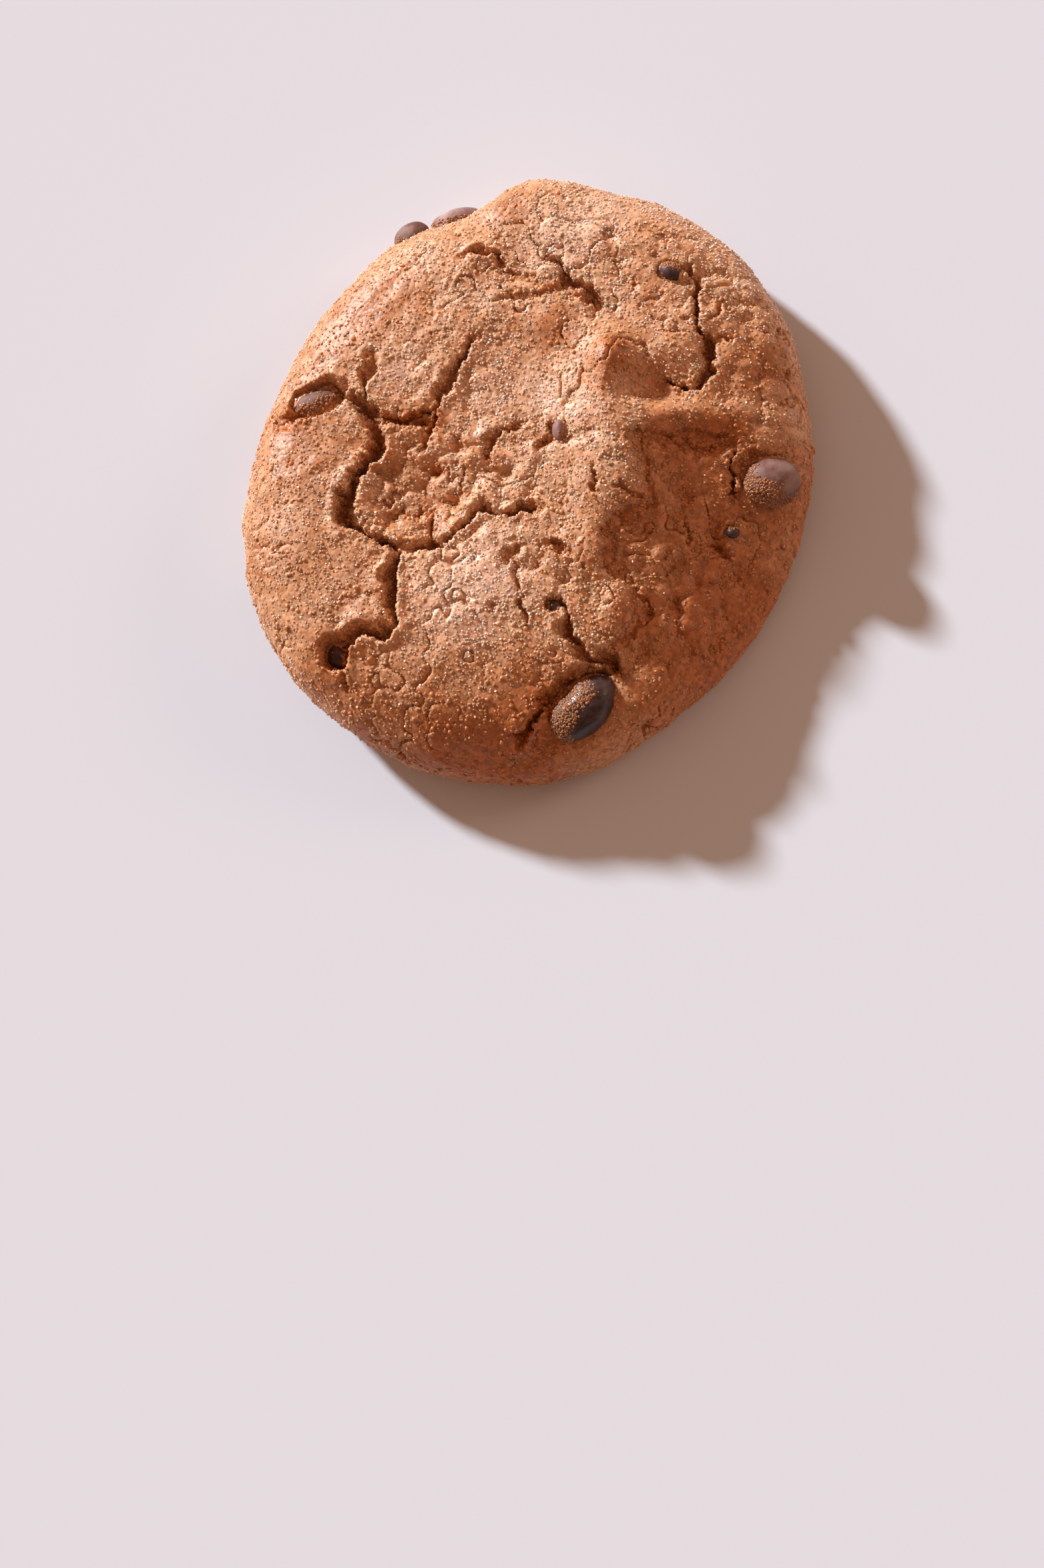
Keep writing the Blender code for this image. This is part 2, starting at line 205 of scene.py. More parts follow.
@dataclass
class LatticeNoise:
    """Smooth seeded noise from -1 to 1, with features of one cell size."""

    cell: float
    seed: int
    values: np.ndarray = field(init=False, repr=False)

    def __post_init__(self) -> None:
        """Draw the values at the lattice's corners."""
        self.values = np.random.default_rng(self.seed).uniform(-1.0, 1.0, (NOISE_SIZE,) * 3)

    def at(self, points: np.ndarray) -> np.ndarray:
        """Return the noise at each point."""
        cells = points / self.cell
        floors = np.floor(cells).astype(int)
        blend = smooth_step(cells - floors)
        total = np.zeros(len(points))
        for corner in itertools.product((0, 1), repeat=3):
            weight = np.prod(np.where(corner, blend, 1.0 - blend), axis=1)
            column, row, layer = ((floors + corner) % NOISE_SIZE).T
            total += weight * self.values[column, row, layer]
        return total


@dataclass
class Pebbles:
    """Rounded lumps packed side by side, one to a cell, as clumped sugar and flour bake."""

    cell: float
    seed: int
    centres: np.ndarray = field(init=False, repr=False)

    def __post_init__(self) -> None:
        """Draw each lump's centre inside its cell."""
        self.centres = np.random.default_rng(self.seed).uniform(0.0, 1.0, (NOISE_SIZE,) * 3 + (3,))

    def at(self, points: np.ndarray) -> np.ndarray:
        """Return the height of the lumps at each point, about 0 in a crease and 1 on top."""
        cells = points / self.cell
        floors = np.floor(cells).astype(int)
        nearest = np.full(len(points), FAR_CELLS)
        for step in itertools.product((-1, 0, 1), repeat=3):
            home = floors + step
            column, row, layer = (home % NOISE_SIZE).T
            offset = home + self.centres[column, row, layer] - cells
            np.minimum(nearest, np.sqrt(np.sum(offset ** 2, axis=1)), out=nearest)
        return 1.0 - nearest ** 2


@dataclass(frozen=True)
class Ripple:
    """A layer of relief or of tone: its height, and the size of its features."""

    height: float
    cell: float

    def noise(self, points: np.ndarray, seed: int) -> np.ndarray:
        """Return smooth noise of this height and size."""
        return self.height * LatticeNoise(self.cell, seed).at(points)

    def pebbles(self, points: np.ndarray, seed: int) -> np.ndarray:
        """Return packed lumps of this height and size."""
        return self.height * Pebbles(self.cell, seed).at(points)


def layered(ripples: tuple[Ripple, ...], points: np.ndarray, seed: int) -> np.ndarray:
    """Add up layers of smooth noise, each with the next seed."""
    return sum(ripple.noise(points, seed + step) for step, ripple in enumerate(ripples))


class Draw(IntEnum):
    """What each noise is drawn for, as its step from the cookie's seed."""

    RAGGED = 0
    LUMPS = 2
    PEBBLES = 5
    HAIRLINES = 11
    HAIR_PLACES = 13
    SOLE_PITS = 21
    SOLE_PORES = 22
    SOLE_CREASES = 23
    MOTTLE = 31
    CRAG_SWAY = 41
    COARSE_CRAGS = 44
    FINE_CRAGS = 45
    WRINKLES = 47
    NARROWING = 49
    NEST_EDGE = 51


# Heights and feature sizes of what varies at random over the dough and the chips.
RAGGED_EDGES = (Ripple(0.5, 2.4), Ripple(0.5, 1.15), Ripple(0.28, 0.5))
LUMPS = (Ripple(0.35, 9.0), Ripple(0.22, 3.6), Ripple(0.10, 1.7))
PEBBLES = (Ripple(0.07, 1.5), Ripple(0.09, 0.6))
HAIRLINES = (Ripple(1.0, 3.1), Ripple(0.45, 1.2))
HAIR_PLACES = Ripple(2.2, 7.5)
NARROWING = Ripple(0.5, 2.4)
CRAG_SWAY = Ripple(0.45, 1.3)
COARSE_CRAGS = Ripple(1.5, 2.7)
FINE_CRAGS = Ripple(0.35, 1.25)
WRINKLES = Ripple(0.2, 1.25)
SOLE_PITS = Ripple(1.6, 2.2)
SOLE_PORES = Ripple(2.4, 0.8)
SOLE_CREASES = Ripple(1.0, 4.5)
MOTTLE = Ripple(0.22, 5.0)
NEST_EDGE = Ripple(0.16, 1.3)
CHIP_DENTS = (Ripple(0.07, 0.9), Ripple(0.035, 0.38))
FILM_EDGE = Ripple(0.5, 0.55)


@dataclass(frozen=True)
class RimBulge:
    """A soft bulge of the rim, or a flat where its rise is negative, at an angle in degrees."""

    angle: float
    half_width: float
    rise: float


@dataclass(frozen=True)
class Mound:
    """A soft swelling of the face, or a hollow where its rise is negative."""

    x: float
    y: float
    half_length: float
    half_width: float
    turn: float
    rise: float

    def at(self, spots: np.ndarray) -> np.ndarray:
        """Return how far the mound lifts each spot of the face."""
        turn = math.radians(self.turn)
        offset = spots - np.array([self.x, self.y])
        along = offset @ np.array([math.cos(turn), math.sin(turn)]) / self.half_length
        across = offset @ np.array([-math.sin(turn), math.cos(turn)]) / self.half_width
        return self.rise * np.exp(-(along ** 2 + across ** 2))


@dataclass(frozen=True)
class Crack:
    """A torn groove along a path, with a wall of its own width on either side."""

    depth: float
    left: float
    right: float
    path: tuple[tuple[float, float], ...]

    @property
    def broad(self) -> bool:
        """Tell a long slope of the face from a tear."""
        return max(self.left, self.right) > BROAD_CRACK

    def distance(self, spots: np.ndarray) -> tuple[np.ndarray, np.ndarray]:
        """Measure the path from each spot.

        Args:
            spots: places on the face.

        Returns:
            The distance, positive on the left of the path's direction, and how far the
            nearest point of the path is from the path's nearer end.
        """
        nearest = np.full(len(spots), np.inf)
        signed = np.full(len(spots), np.inf)
        walked = np.zeros(len(spots))
        corners = np.array(self.path, dtype=float)
        lengths = np.linalg.norm(np.diff(corners, axis=0), axis=1)
        before = 0.0
        for start, end, length in zip(corners[:-1], corners[1:], lengths):
            along = (end - start) / length
            offset = spots - start
            step = np.clip(offset @ along, 0.0, length)
            gap = np.linalg.norm(offset - step[:, None] * along, axis=1)
            left = along[0] * offset[:, 1] - along[1] * offset[:, 0] > 0.0
            nearer = gap < nearest
            nearest[nearer] = gap[nearer]
            signed[nearer] = np.where(left, gap, -gap)[nearer]
            walked[nearer] = (before + step)[nearer]
            before += length
        return signed, np.minimum(walked, lengths.sum() - walked)

    def at(self, spots: np.ndarray,
           narrowing: np.ndarray) -> tuple[np.ndarray, np.ndarray, np.ndarray]:
        """Work out the crack at each spot.

        Args:
            spots: places on the face.
            narrowing: the share of its full width that a tear has there.

        Returns:
            The depth, how far into the crack the spot is, and the rise of its lip.
        """
        reach = max(self.left, self.right) + LIP_REACH * LIP_WIDTH
        corners = np.array(self.path, dtype=float)
        low, high = corners.min(axis=0) - reach, corners.max(axis=0) + reach
        near = np.all((spots > low) & (spots < high), axis=1)
        depth, wall, lip = (np.zeros(len(spots)) for _ in range(3))
        distance, from_end = self.distance(spots[near])
        full = np.where(distance > 0.0, self.left, self.right)
        eased = smooth_step(TAPER_END + (1.0 - TAPER_END) * from_end / TAPER_LENGTH)
        taper = 1.0 if self.broad else eased
        width = full if self.broad else full * narrowing[near]
        share = np.clip(1.0 - np.abs(distance) / width, 0.0, 1.0)
        wall[near] = np.where(full < CRISP_WIDTH, share * (2.0 - share), smooth_step(share))
        depth[near] = self.depth * taper * wall[near]
        if not self.broad:
            past = np.maximum(np.abs(distance) - width, 0.0)
            rise = LIP_SHARE * self.depth * taper * np.exp(-(past / LIP_WIDTH) ** 2)
            lip[near] = rise * (1.0 - share) ** 2
        return depth, wall, lip


@dataclass(frozen=True)
class Spot:
    """A round patch of the face, such as a browned one, with its strength."""

    x: float
    y: float
    radius: float
    strength: float

    def at(self, spots: np.ndarray) -> np.ndarray:
        """Return the patch's strength at each spot."""
        away = np.sum((spots - np.array([self.x, self.y])) ** 2, axis=1)
        return self.strength * np.exp(-away / self.radius ** 2)


class ChipTone(Enum):
    """How a chip's chocolate looks: freshly dark, milky with bloom, or greyish pink."""

    DARK = ("#2E1B1C", "#5B4446", 0.30)
    MILKY = ("#6A3F33", "#94776F", 0.55)
    DUSTY = ("#8A6560", "#B89A96", 0.60)


@dataclass(frozen=True)
class ChipPlace:
    """A chip's half sizes, turn, look, and the crumb that creeps over it from one side."""

    half_length: float
    half_width: float
    half_height: float
    turn: float
    tone: ChipTone
    film: float
    film_from: float
    on_face: bool = True


RIM_BULGES = {
    "left": RimBulge(203, 28, 0.9),
    "front": RimBulge(278, 15, 0.9),
    "back_peak": RimBulge(88, 10, 0.9),
    "back_notch": RimBulge(104, 8, -1.2),
    "right_flat": RimBulge(14, 13, -0.4),
}

SWELLS = {
    "centre_rise": Mound(11, 3, 7, 12, 0, 2.5),
    "right_fall": Mound(30, -18, 15, 20, 0, -7),
    "front_fall": Mound(-4, -40, 22, 12, 0, -5),
}

MOUNDS = {
    "front_plate": Mound(-4, -15, 10, 7, 0, 0.8),
    "left_plate": Mound(-25, -2, 5, 9, 0, 0.5),
    "back_left": Mound(-9, 16, 9, 7, 30, 0.8),
    "round_plate": Mound(3, 17.3, 4.5, 2.6, 0, 0.6),
    "knob": Mound(10.6, 13.2, 2.8, 2.5, 0, 1.7),
    "knob_crest": Mound(9.8, 9.2, 2.0, 4.2, 0, 1.2),
    "cross_ridge": Mound(18.5, 5.6, 7.5, 1.8, 0, 1.2),
    "back_right_plate": Mound(18.0, 12.8, 2.8, 4.0, 0, 0.9),
    "basin": Mound(15.8, 8.8, 3.0, 2.4, 0, -1.6),
    "crumbly_hollow": Mound(-12, -3, 6, 5.5, 0, -1.6),
    "crest_shelf": Mound(11.4, -1.0, 2.6, 4.6, 0, 0.7),
    "crest_middle": Mound(7.8, -9.5, 2.4, 3.8, 0, 1.0),
    "crest_front": Mound(11.0, -16.2, 2.6, 3.0, 0, 1.2),
    "crest_foot": Mound(7.8, -21.5, 2.2, 2.6, 0, 0.7),
    "chip_pit": Mound(7.2, -26.4, 4.8, 2.6, 47, -2.2),
}

CRACKS = {
    "left_valley": Crack(3.6, 2.1, 1.1, (
        (-20, 9), (-18, 7), (-16.4, 3.8), (-18, 1.4), (-20.2, -2), (-20.8, -4.4),
        (-19, -7), (-16.5, -7.7), (-14.2, -8.9))),
    "left_hollow": Crack(3.2, 2.2, 1.0, (
        (-27.5, 6.4), (-25.4, 8.6), (-22.8, 9.6), (-20.2, 9.2), (-18.6, 7.6))),
    "back_plate_left": Crack(1.3, 0.9, 0.9, (
        (-17.8, 7.4), (-18.3, 10.2), (-17.2, 12.5), (-16.8, 14.5))),
    "back_plate_foot": Crack(2.0, 0.8, 2.1, (
        (-17.2, 7.0), (-14.5, 6.6), (-12, 6.9), (-9.8, 7.6))),
    "back_plate_right": Crack(1.7, 0.9, 0.8, (
        (-11.4, 2.5), (-10.3, 6), (-9.2, 9), (-7.6, 11.8), (-5, 15.8))),
    "long_crack": Crack(3.6, 0.8, 1.9, (
        (-14.2, -8.9), (-14.8, -12), (-14.6, -15), (-14.4, -17.8), (-16, -18.8),
        (-19, -18.6), (-21.6, -21.4))),
    "diagonal_crack": Crack(2.6, 2.0, 0.8, (
        (-13.8, -9.2), (-10, -9.0), (-7.2, -7.4), (-5.6, -5.3), (-2.5, -5.2), (1.6, -4.9))),
    "crescent_left": Crack(1.2, 0.8, 0.8, (
        (-2.8, -10.6), (-1, -10.3), (0.6, -9.4))),
    "crescent_right": Crack(1.4, 0.8, 0.8, (
        (2, -8.6), (3.5, -8.7), (5.7, -10.7))),
    "front_crack": Crack(2.6, 0.8, 1.7, (
        (3.9, -15.2), (4.8, -17), (5.8, -19.3), (7.4, -21.8), (9.6, -22.8), (10.4, -24.2))),
    "chip_groove": Crack(2.6, 1.1, 1.2, (
        (9.5, -23.9), (6.5, -24), (4.2, -25), (2, -27.6), (-0.8, -31))),
    "back_hook": Crack(1.7, 0.9, 0.9, (
        (-7.2, 25.3), (-5.8, 26.5), (-2.9, 25.4), (-2.4, 23.4))),
    "back_crack": Crack(2.1, 0.9, 1.0, (
        (3.3, 24.8), (4.9, 23.6), (5.4, 21.7), (7.3, 21), (8.8, 19), (8.4, 17.2))),
    "right_crack": Crack(2.4, 0.9, 1.0, (
        (18.3, 23), (20.4, 20.6), (19.9, 17.2), (21.2, 14.2), (21.9, 10.4), (20, 8.2),
        (16.5, 9.5))),
    "chip_side_gap": Crack(2.2, 1.0, 0.8, (
        (24.4, 1.6), (23.8, -1), (23.4, -3.7))),
    "centre_plate": Crack(1.3, 0.8, 1.5, (
        (0, 5), (-2.8, 3.8), (-3.9, 2), (-3.2, 0.3))),
    "centre_slit": Crack(1.4, 0.8, 0.8, (
        (3.6, 5.6), (3.6, 3.6), (2.2, 2.3))),
    "front_slit": Crack(1.3, 0.7, 0.7, (
        (0, -14.6), (0.5, -16.6), (0.7, -18.7))),
    "ridge_drop": Crack(1.0, 1.8, 3.0, (
        (12.5, 2.4), (15, 2.2), (18, 2.2), (20.3, 1.8), (25, 2.2))),
    "step_down": Crack(0.4, 5.9, 1.5, (
        (13.8, 0), (14.2, -4.4), (10.6, -7), (9.9, -12), (13.2, -15.5), (12.5, -19),
        (10, -22))),
}

# Small splits and edges that only the fine surface can hold.
SPLITS = {
    "step_edge": Crack(1.1, 2.4, 0.6, (
        (14, 1.5), (14, -1), (14.5, -4.5), (11, -6), (9.8, -8), (10, -10), (9.8, -12),
        (12, -14), (13.8, -15.5), (13.8, -18), (12.5, -19), (10.5, -20), (9.8, -22))),
    "ridge_edge": Crack(1.0, 0.5, 2.4, (
        (12.4, 3.2), (14.5, 3.5), (17, 3.7), (20, 3.4), (23.6, 3.7))),
    "chip_pit_end": Crack(3.2, 1.3, 1.6, ((8.4, -21.8), (10.2, -22.4), (11.0, -23.8))),
    "left_foot": Crack(0.9, 0.6, 0.5, ((-21, -22), (-20.8, -24), (-20.5, -25.2))),
    "left_slit": Crack(0.8, 0.5, 0.5, ((-18.8, -7.2), (-16.5, -7.7), (-14, -8.7))),
    "fold_mark": Crack(0.6, 0.6, 0.6, ((-28.6, -15.8), (-27.9, -17), (-27, -17.5))),
    "back_wrinkle": Crack(0.7, 0.5, 0.6, ((-13.8, 15.2), (-12.8, 15.5), (-12.5, 16.2))),
    "back_nick": Crack(0.7, 0.5, 0.5, ((-11, 15.2), (-10.2, 16.6))),
    "hook_tail": Crack(0.6, 0.5, 0.5, ((-8.6, 21.9), (-7.4, 22.1))),
    "back_ledge": Crack(0.6, 0.5, 1.2, ((3.5, 21.5), (1, 22.2), (-1.5, 22.7), (-2.5, 23.3))),
    "back_step": Crack(0.7, 0.6, 0.9, ((1.5, 26.3), (3, 26.2), (3.9, 26.8))),
    "back_bite": Crack(0.7, 0.6, 0.9, ((5, 25.3), (5.6, 26), (6.6, 26.2))),
    "round_edge": Crack(0.7, 0.5, 0.9, (
        (8.3, 18.9), (6.3, 20.4), (4, 20.9), (2, 20.5), (0, 19.9), (-2, 20.5))),
    "back_pit": Crack(1.6, 0.8, 0.8, ((16.2, 27.2), (16.5, 26.3))),
    "pit_stem": Crack(0.8, 0.4, 0.4, ((16.3, 26.2), (16.2, 25.4), (16.9, 24.6))),
    "right_rip": Crack(1.1, 0.6, 0.6, ((21.9, 13.7), (23, 14.2), (24.1, 14.9))),
    "right_branch": Crack(0.9, 0.5, 0.5, ((21.4, 16.8), (22.6, 17.6), (23, 19))),
    "chevron": Crack(0.8, 0.5, 0.6, ((13.4, 13.6), (15, 12.5), (14.4, 11.4))),
    "shelf_slit": Crack(1.1, 0.5, 0.5, ((8.5, 0.1), (8.6, -1.5), (8.2, -2.9), (9.1, -3.8))),
    "shelf_rip": Crack(1.0, 0.5, 0.6, (
        (10, -2.8), (11.5, -3.2), (12.5, -3.9), (14, -4.2), (14.6, -4.8))),
    "slope_slit": Crack(0.9, 0.5, 0.5, ((16.7, -9.6), (16.3, -10.5), (16, -11.8))),
    "slope_crack": Crack(0.9, 0.5, 0.5, ((18.3, -6), (18, -7.5), (18.4, -9.4))),
    "slope_rip": Crack(1.0, 0.5, 0.6, ((19.5, -9), (21, -9.5), (23.6, -9.8))),
    "rim_nick": Crack(0.8, 0.5, 0.5, ((28.2, -8.9), (29.4, -8.3))),
    "plate_inner_left": Crack(0.9, 0.6, 0.6, (
        (-0.5, -10), (-0.9, -12), (-0.3, -14), (0.8, -15.5))),
    "plate_pit": Crack(1.5, 1.0, 0.9, ((-3.4, -16.2), (-2.6, -16.4))),
    "plate_bite": Crack(1.0, 0.7, 0.7, ((2.6, -15.2), (4, -16))),
    "hollow_pit": Crack(1.6, 0.8, 0.8, ((-10.2, 0.6), (-9.4, 0.1))),
    "hollow_curve": Crack(1.0, 0.7, 0.6, ((-17, -3.3), (-15.5, -3.3), (-14.3, -1.9))),
    "hollow_split": Crack(1.3, 0.8, 0.7, ((-10.6, -4), (-10.3, -6), (-9.8, -7.6))),
    "hollow_nick": Crack(0.9, 0.6, 0.6, ((-12.6, -5.6), (-12, -4.4), (-11, -4.1))),
    "hollow_lip": Crack(0.8, 0.6, 0.6, ((-6.4, 0.4), (-7.2, -1), (-7, -2.6))),
    "foot_split": Crack(1.0, 0.6, 0.6, ((1.4, -30.2), (1.8, -31.9))),
    "rim_notch": Crack(1.3, 0.7, 0.9, ((32.2, 2.9), (34.5, 2.2))),
}

# Browned patches of the crust, mixed with painted light. Many patches are painted shade: they
# darken the shaded right slope, the shelf, the basin, the ridge's lower edge, the fold between lit
# and shaded face, the crumbly hollow, and the left and back left rim where they face the light.
# Patches with a negative strength are painted light, paler on lit plateaus.
BROWNED_AND_PAINTED_LIGHT = (
    Spot(11.2, 13.4, 2.6, 1.0), Spot(9.4, 10.5, 2.4, 0.55), Spot(3.2, 15.0, 3.0, 0.5),
    Spot(-9.6, 6.0, 1.3, 1.0), Spot(-13.5, 6.2, 2.6, 0.75), Spot(-14.5, 0.7, 1.4, 0.7),
    Spot(-9.8, 0.2, 1.2, 0.9), Spot(21.5, 3.6, 2.4, 0.8), Spot(16.5, 3.6, 2.6, 0.55),
    Spot(24.6, 3.6, 1.6, 0.7), Spot(13.0, -6.2, 2.4, 0.45), Spot(10.2, -10, 3.0, 0.5),
    Spot(12.5, -17, 2.6, 0.45), Spot(-17.5, -14, 2.8, 0.45), Spot(-1.5, 31.2, 2.6, 0.8),
    Spot(-27.4, 6.4, 1.8, 0.8), Spot(1.5, -25.5, 6.0, 0.45), Spot(-12, -30, 6.0, 0.4),
    Spot(-2.0, -33, 7.0, 0.6), Spot(23, -22, 6.0, 0.4), Spot(14.6, 20.4, 2.2, 0.4),
    Spot(3.7, 3.9, 1.4, 0.5), Spot(-18.5, 3.2, 1.8, 0.4), Spot(-22, -22, 3.4, 0.35),
    Spot(20, -12, 9.0, 0.6), Spot(26, -2, 7.0, 0.5), Spot(27, 12, 6.0, 0.45),
    Spot(-19, 19, 8.0, 0.6), Spot(-28, 3, 6.0, 0.4), Spot(2, 8, 5.0, -0.3),
    Spot(-6, -14, 6.0, -0.6), Spot(-14, 12, 4.0, -0.5),
    Spot(6, 29, 6.0, -0.4), Spot(3, 17.5, 3.5, 0.25), Spot(-12, -4, 4.0, 0.3),
    Spot(17, -23, 6.0, 0.5), Spot(18, 0, 4.5, 0.6), Spot(15.8, 9, 3.0, 0.6),
)

# Where the crust broke into crumb as it rose.
CRUMBLED = (
    Spot(-13, -3, 6.5, 0.9), Spot(-3, 1, 5.5, 0.7), Spot(-12, 5, 3.5, 0.6),
    Spot(-3, -8, 4.0, 0.45), Spot(3, -12, 4.5, 0.5), Spot(-8, 12, 5.0, 0.35),
    Spot(26, 17, 7.0, 0.45), Spot(19, 22, 4.0, 0.35), Spot(-16, -15, 3.5, 0.45),
    Spot(14, -10, 6.0, 0.35), Spot(22, -6, 5.0, 0.35), Spot(5, -24, 4.0, 0.5),
    Spot(-22, 10, 3.5, 0.6), Spot(6, 22, 4.5, 0.35), Spot(25, -2, 3.0, 0.4),
    Spot(-21, -22, 3.5, 0.4), Spot(10, 1, 6.0, 0.25), Spot(19, -13, 7.0, 0.45),
    Spot(27, 8, 6.0, 0.4), Spot(15, -21, 5.0, 0.4), Spot(14, 24, 5.0, 0.35),
)

WRINKLED = (
    Spot(-14, 19, 8.0, 1.0), Spot(-4, 26, 6.0, 0.8), Spot(-13, 11.5, 4.0, 0.5),
    Spot(-24, 2, 5.0, 0.4),
)

CHIPS = {
    "chip_front": ChipPlace(4.6, 2.8, 2.6, 47, ChipTone.DARK, 0.56, 165),
    "chip_right": ChipPlace(3.3, 3.0, 2.4, 10, ChipTone.MILKY, 0.45, 240),
    "chip_back_right": ChipPlace(1.4, 1.1, 1.2, -20, ChipTone.DARK, 0.45, 90),
    "chip_left_hollow": ChipPlace(3.0, 1.6, 1.6, 15, ChipTone.MILKY, 0.55, 300),
    "chip_left_crack": ChipPlace(1.3, 1.6, 1.3, 0, ChipTone.DARK, 0.15, 0),
    "chip_centre": ChipPlace(0.8, 1.3, 0.9, 0, ChipTone.DUSTY, 0.30, 0),
    "chip_front_speck": ChipPlace(0.8, 0.7, 0.6, 0, ChipTone.DARK, 0.30, 180),
    "chip_right_speck": ChipPlace(0.8, 0.7, 0.7, 0, ChipTone.DARK, 0.30, 90),
    "chip_rim_back": ChipPlace(2.1, 1.7, 1.6, 25, ChipTone.MILKY, 0.45, 270, on_face=False),
    "chip_rim_long": ChipPlace(3.0, 1.5, 1.8, 15, ChipTone.DUSTY, 0.45, 270, on_face=False),
    "chip_side_left": ChipPlace(1.9, 2.6, 1.9, 20, ChipTone.DARK, 0.35, 0, on_face=False),
    "chip_side_back": ChipPlace(2.2, 1.6, 1.6, -15, ChipTone.MILKY, 0.35, 270, on_face=False),
}

# Crumb on a chip takes the torn crumb's tone; its browning and underside shares are painted shade,
# for crumb that lies in the shade of the chips' pits.
CHIP_CRUMB_TONE_AND_SHADE = {"torn": 1.0, "browning_and_painted_light": 0.9, "underside": 0.35}


@dataclass
class SkinPatch:
    """A stretch of the cookie's skin: points, outward normals and face share."""

    points: np.ndarray
    normals: np.ndarray
    upside: np.ndarray


@dataclass
class CookieDough:
    """The baked dough: rim, face, sides and underside, torn and browned."""

    rim_middle: float = 33.4
    rim_stretch: float = 2.05
    rim_turn: float = 60.0
    face_height: float = 12.0
    middle_height: float = 5.8
    shoulder_width: float = 8.0
    foot_width: float = 5.0
    upside_share: float = 0.4
    foot_share: float = 0.25
    grid_cells: int = 560
    quick_cells: int = 240
    triangles: int = 192000
    inset: tuple[float, float, float] = (0.991, 0.990, 0.984)
    skin_sink: float = 0.1
    torn_pebbles: float = 3.0
    narrow_share: float = 0.68
    crag_level: float = 0.72
    crag_crease_start: float = 0.62
    crag_crease_width: float = 0.35
    crag_crease_depth: float = 0.6
    crease_tearing_and_shade: float = 0.6
    wrinkle_stretch: float = 3.2
    hair_clear: float = 0.1
    hair_width: float = 0.09
    hair_depth: float = 0.55
    pit_clear: float = 0.35
    pit_depth: float = 0.30
    pore_clear: float = 0.9
    pore_depth: float = 0.22
    sole_crease_width: float = 0.10
    sole_crease_depth: float = 0.18
    sole_edge: float = 0.06
    sole_height: float = 1.2
    side_top: float = 7.5
    side_fall: float = 7.0
    side_browning: float = 0.45
    edge_start: float = 0.55
    edge_width: float = 0.4
    edge_browning_and_shade: float = 0.45
    lit_side: float = 80.0
    crest_start: float = 0.6
    crest_width: float = 1.6
    crest_browning: float = 0.2
    nest_gap: float = 0.25
    nest_wall: float = 1.4
    nest_slope: float = 9.0
    nest_floor: float = 0.35
    seed: int = 27
    shift: np.ndarray = field(default_factory=lambda: np.zeros(3))

    def rim_radius(self, angles: np.ndarray) -> np.ndarray:
        """Return the plan radius of the widest part at each angle: an oval with bulges."""
        degrees = np.degrees(angles)
        radius = self.rim_middle + self.rim_stretch * np.cos(
            2.0 * np.radians(degrees - self.rim_turn))
        for bulge in RIM_BULGES.values():
            away = (degrees - bulge.angle + 180.0) % 360.0 - 180.0
            radius = radius + bulge.rise * np.exp(-(away / bulge.half_width) ** 2)
        return radius

    def disc_grid(self, cells: int) -> tuple[np.ndarray, np.ndarray, np.ndarray]:
        """Bend a square grid to a disc.

        Args:
            cells: the number of cells along the square's side.

        Returns:
            Each point's share of the way out, its angle, and the quads.
        """
        steps = np.linspace(-1.0, 1.0, cells + 1)
        across, along = (line.ravel() for line in np.meshgrid(steps, steps))
        share = np.maximum(np.abs(across), np.abs(along))
        wide = np.abs(across) >= np.abs(along)
        safe = np.where(share > 0.0, share, 1.0)
        eighth = QUARTER_TURN / 2.0
        angle = np.where(wide, eighth * along / safe * np.sign(across),
                         QUARTER_TURN - eighth * across / safe * np.sign(along))
        angle = np.where(wide & (across < 0.0), angle + math.pi, angle)
        angle = np.where(~wide & (along < 0.0), angle + math.pi, angle)
        first = (np.arange(cells)[:, None] * (cells + 1) + np.arange(cells)).ravel()
        quads = np.stack([first, first + 1, first + cells + 2, first + cells + 1], axis=1)
        return share, angle, quads

    def upper_skin(self, share: np.ndarray, angle: np.ndarray) -> SkinPatch:
        """Return the plain skin from the middle of the face over the rim to the foot."""
        radius = self.rim_radius(angle)
        flat = radius - self.shoulder_width
        face_rise = self.face_height - self.middle_height
        root_two = math.sqrt(2.0)
        shoulder = QUARTER_TURN * math.hypot(self.shoulder_width, face_rise) / root_two
        foot = QUARTER_TURN * math.hypot(self.foot_width, self.middle_height) / root_two
        walked = share * (flat + shoulder + foot)
        upper = np.clip((walked - flat) / shoulder, 0.0, 1.0) * QUARTER_TURN
        lower = np.clip((walked - flat - shoulder) / foot, 0.0, 1.0) * QUARTER_TURN
        on_foot = walked > flat + shoulder
        reach = np.where(on_foot, radius - self.foot_width * (1.0 - np.cos(lower)),
                         np.minimum(walked, flat) + self.shoulder_width * np.sin(upper))
        height = np.where(on_foot, self.middle_height * (1.0 - np.sin(lower)),
                          self.middle_height + face_rise * np.cos(upper))
        out = np.where(on_foot, np.cos(lower) / self.foot_width,
                       np.sin(upper) / self.shoulder_width)
        rise = np.where(on_foot, -np.sin(lower) / self.middle_height,
                        np.cos(upper) / face_rise)
        upside = smooth_step((height - self.middle_height) / (self.upside_share * self.face_height))
        points = np.stack([reach * np.cos(angle), reach * np.sin(angle), height], axis=1)
        swell = sum(mound.at(points[:, :2]) for mound in SWELLS.values())
        points[:, 2] *= 1.0 + swell / self.face_height
        normals = np.stack([out * np.cos(angle), out * np.sin(angle), rise], axis=1)
        normals /= np.linalg.norm(normals, axis=1, keepdims=True)
        return SkinPatch(points, normals, upside)

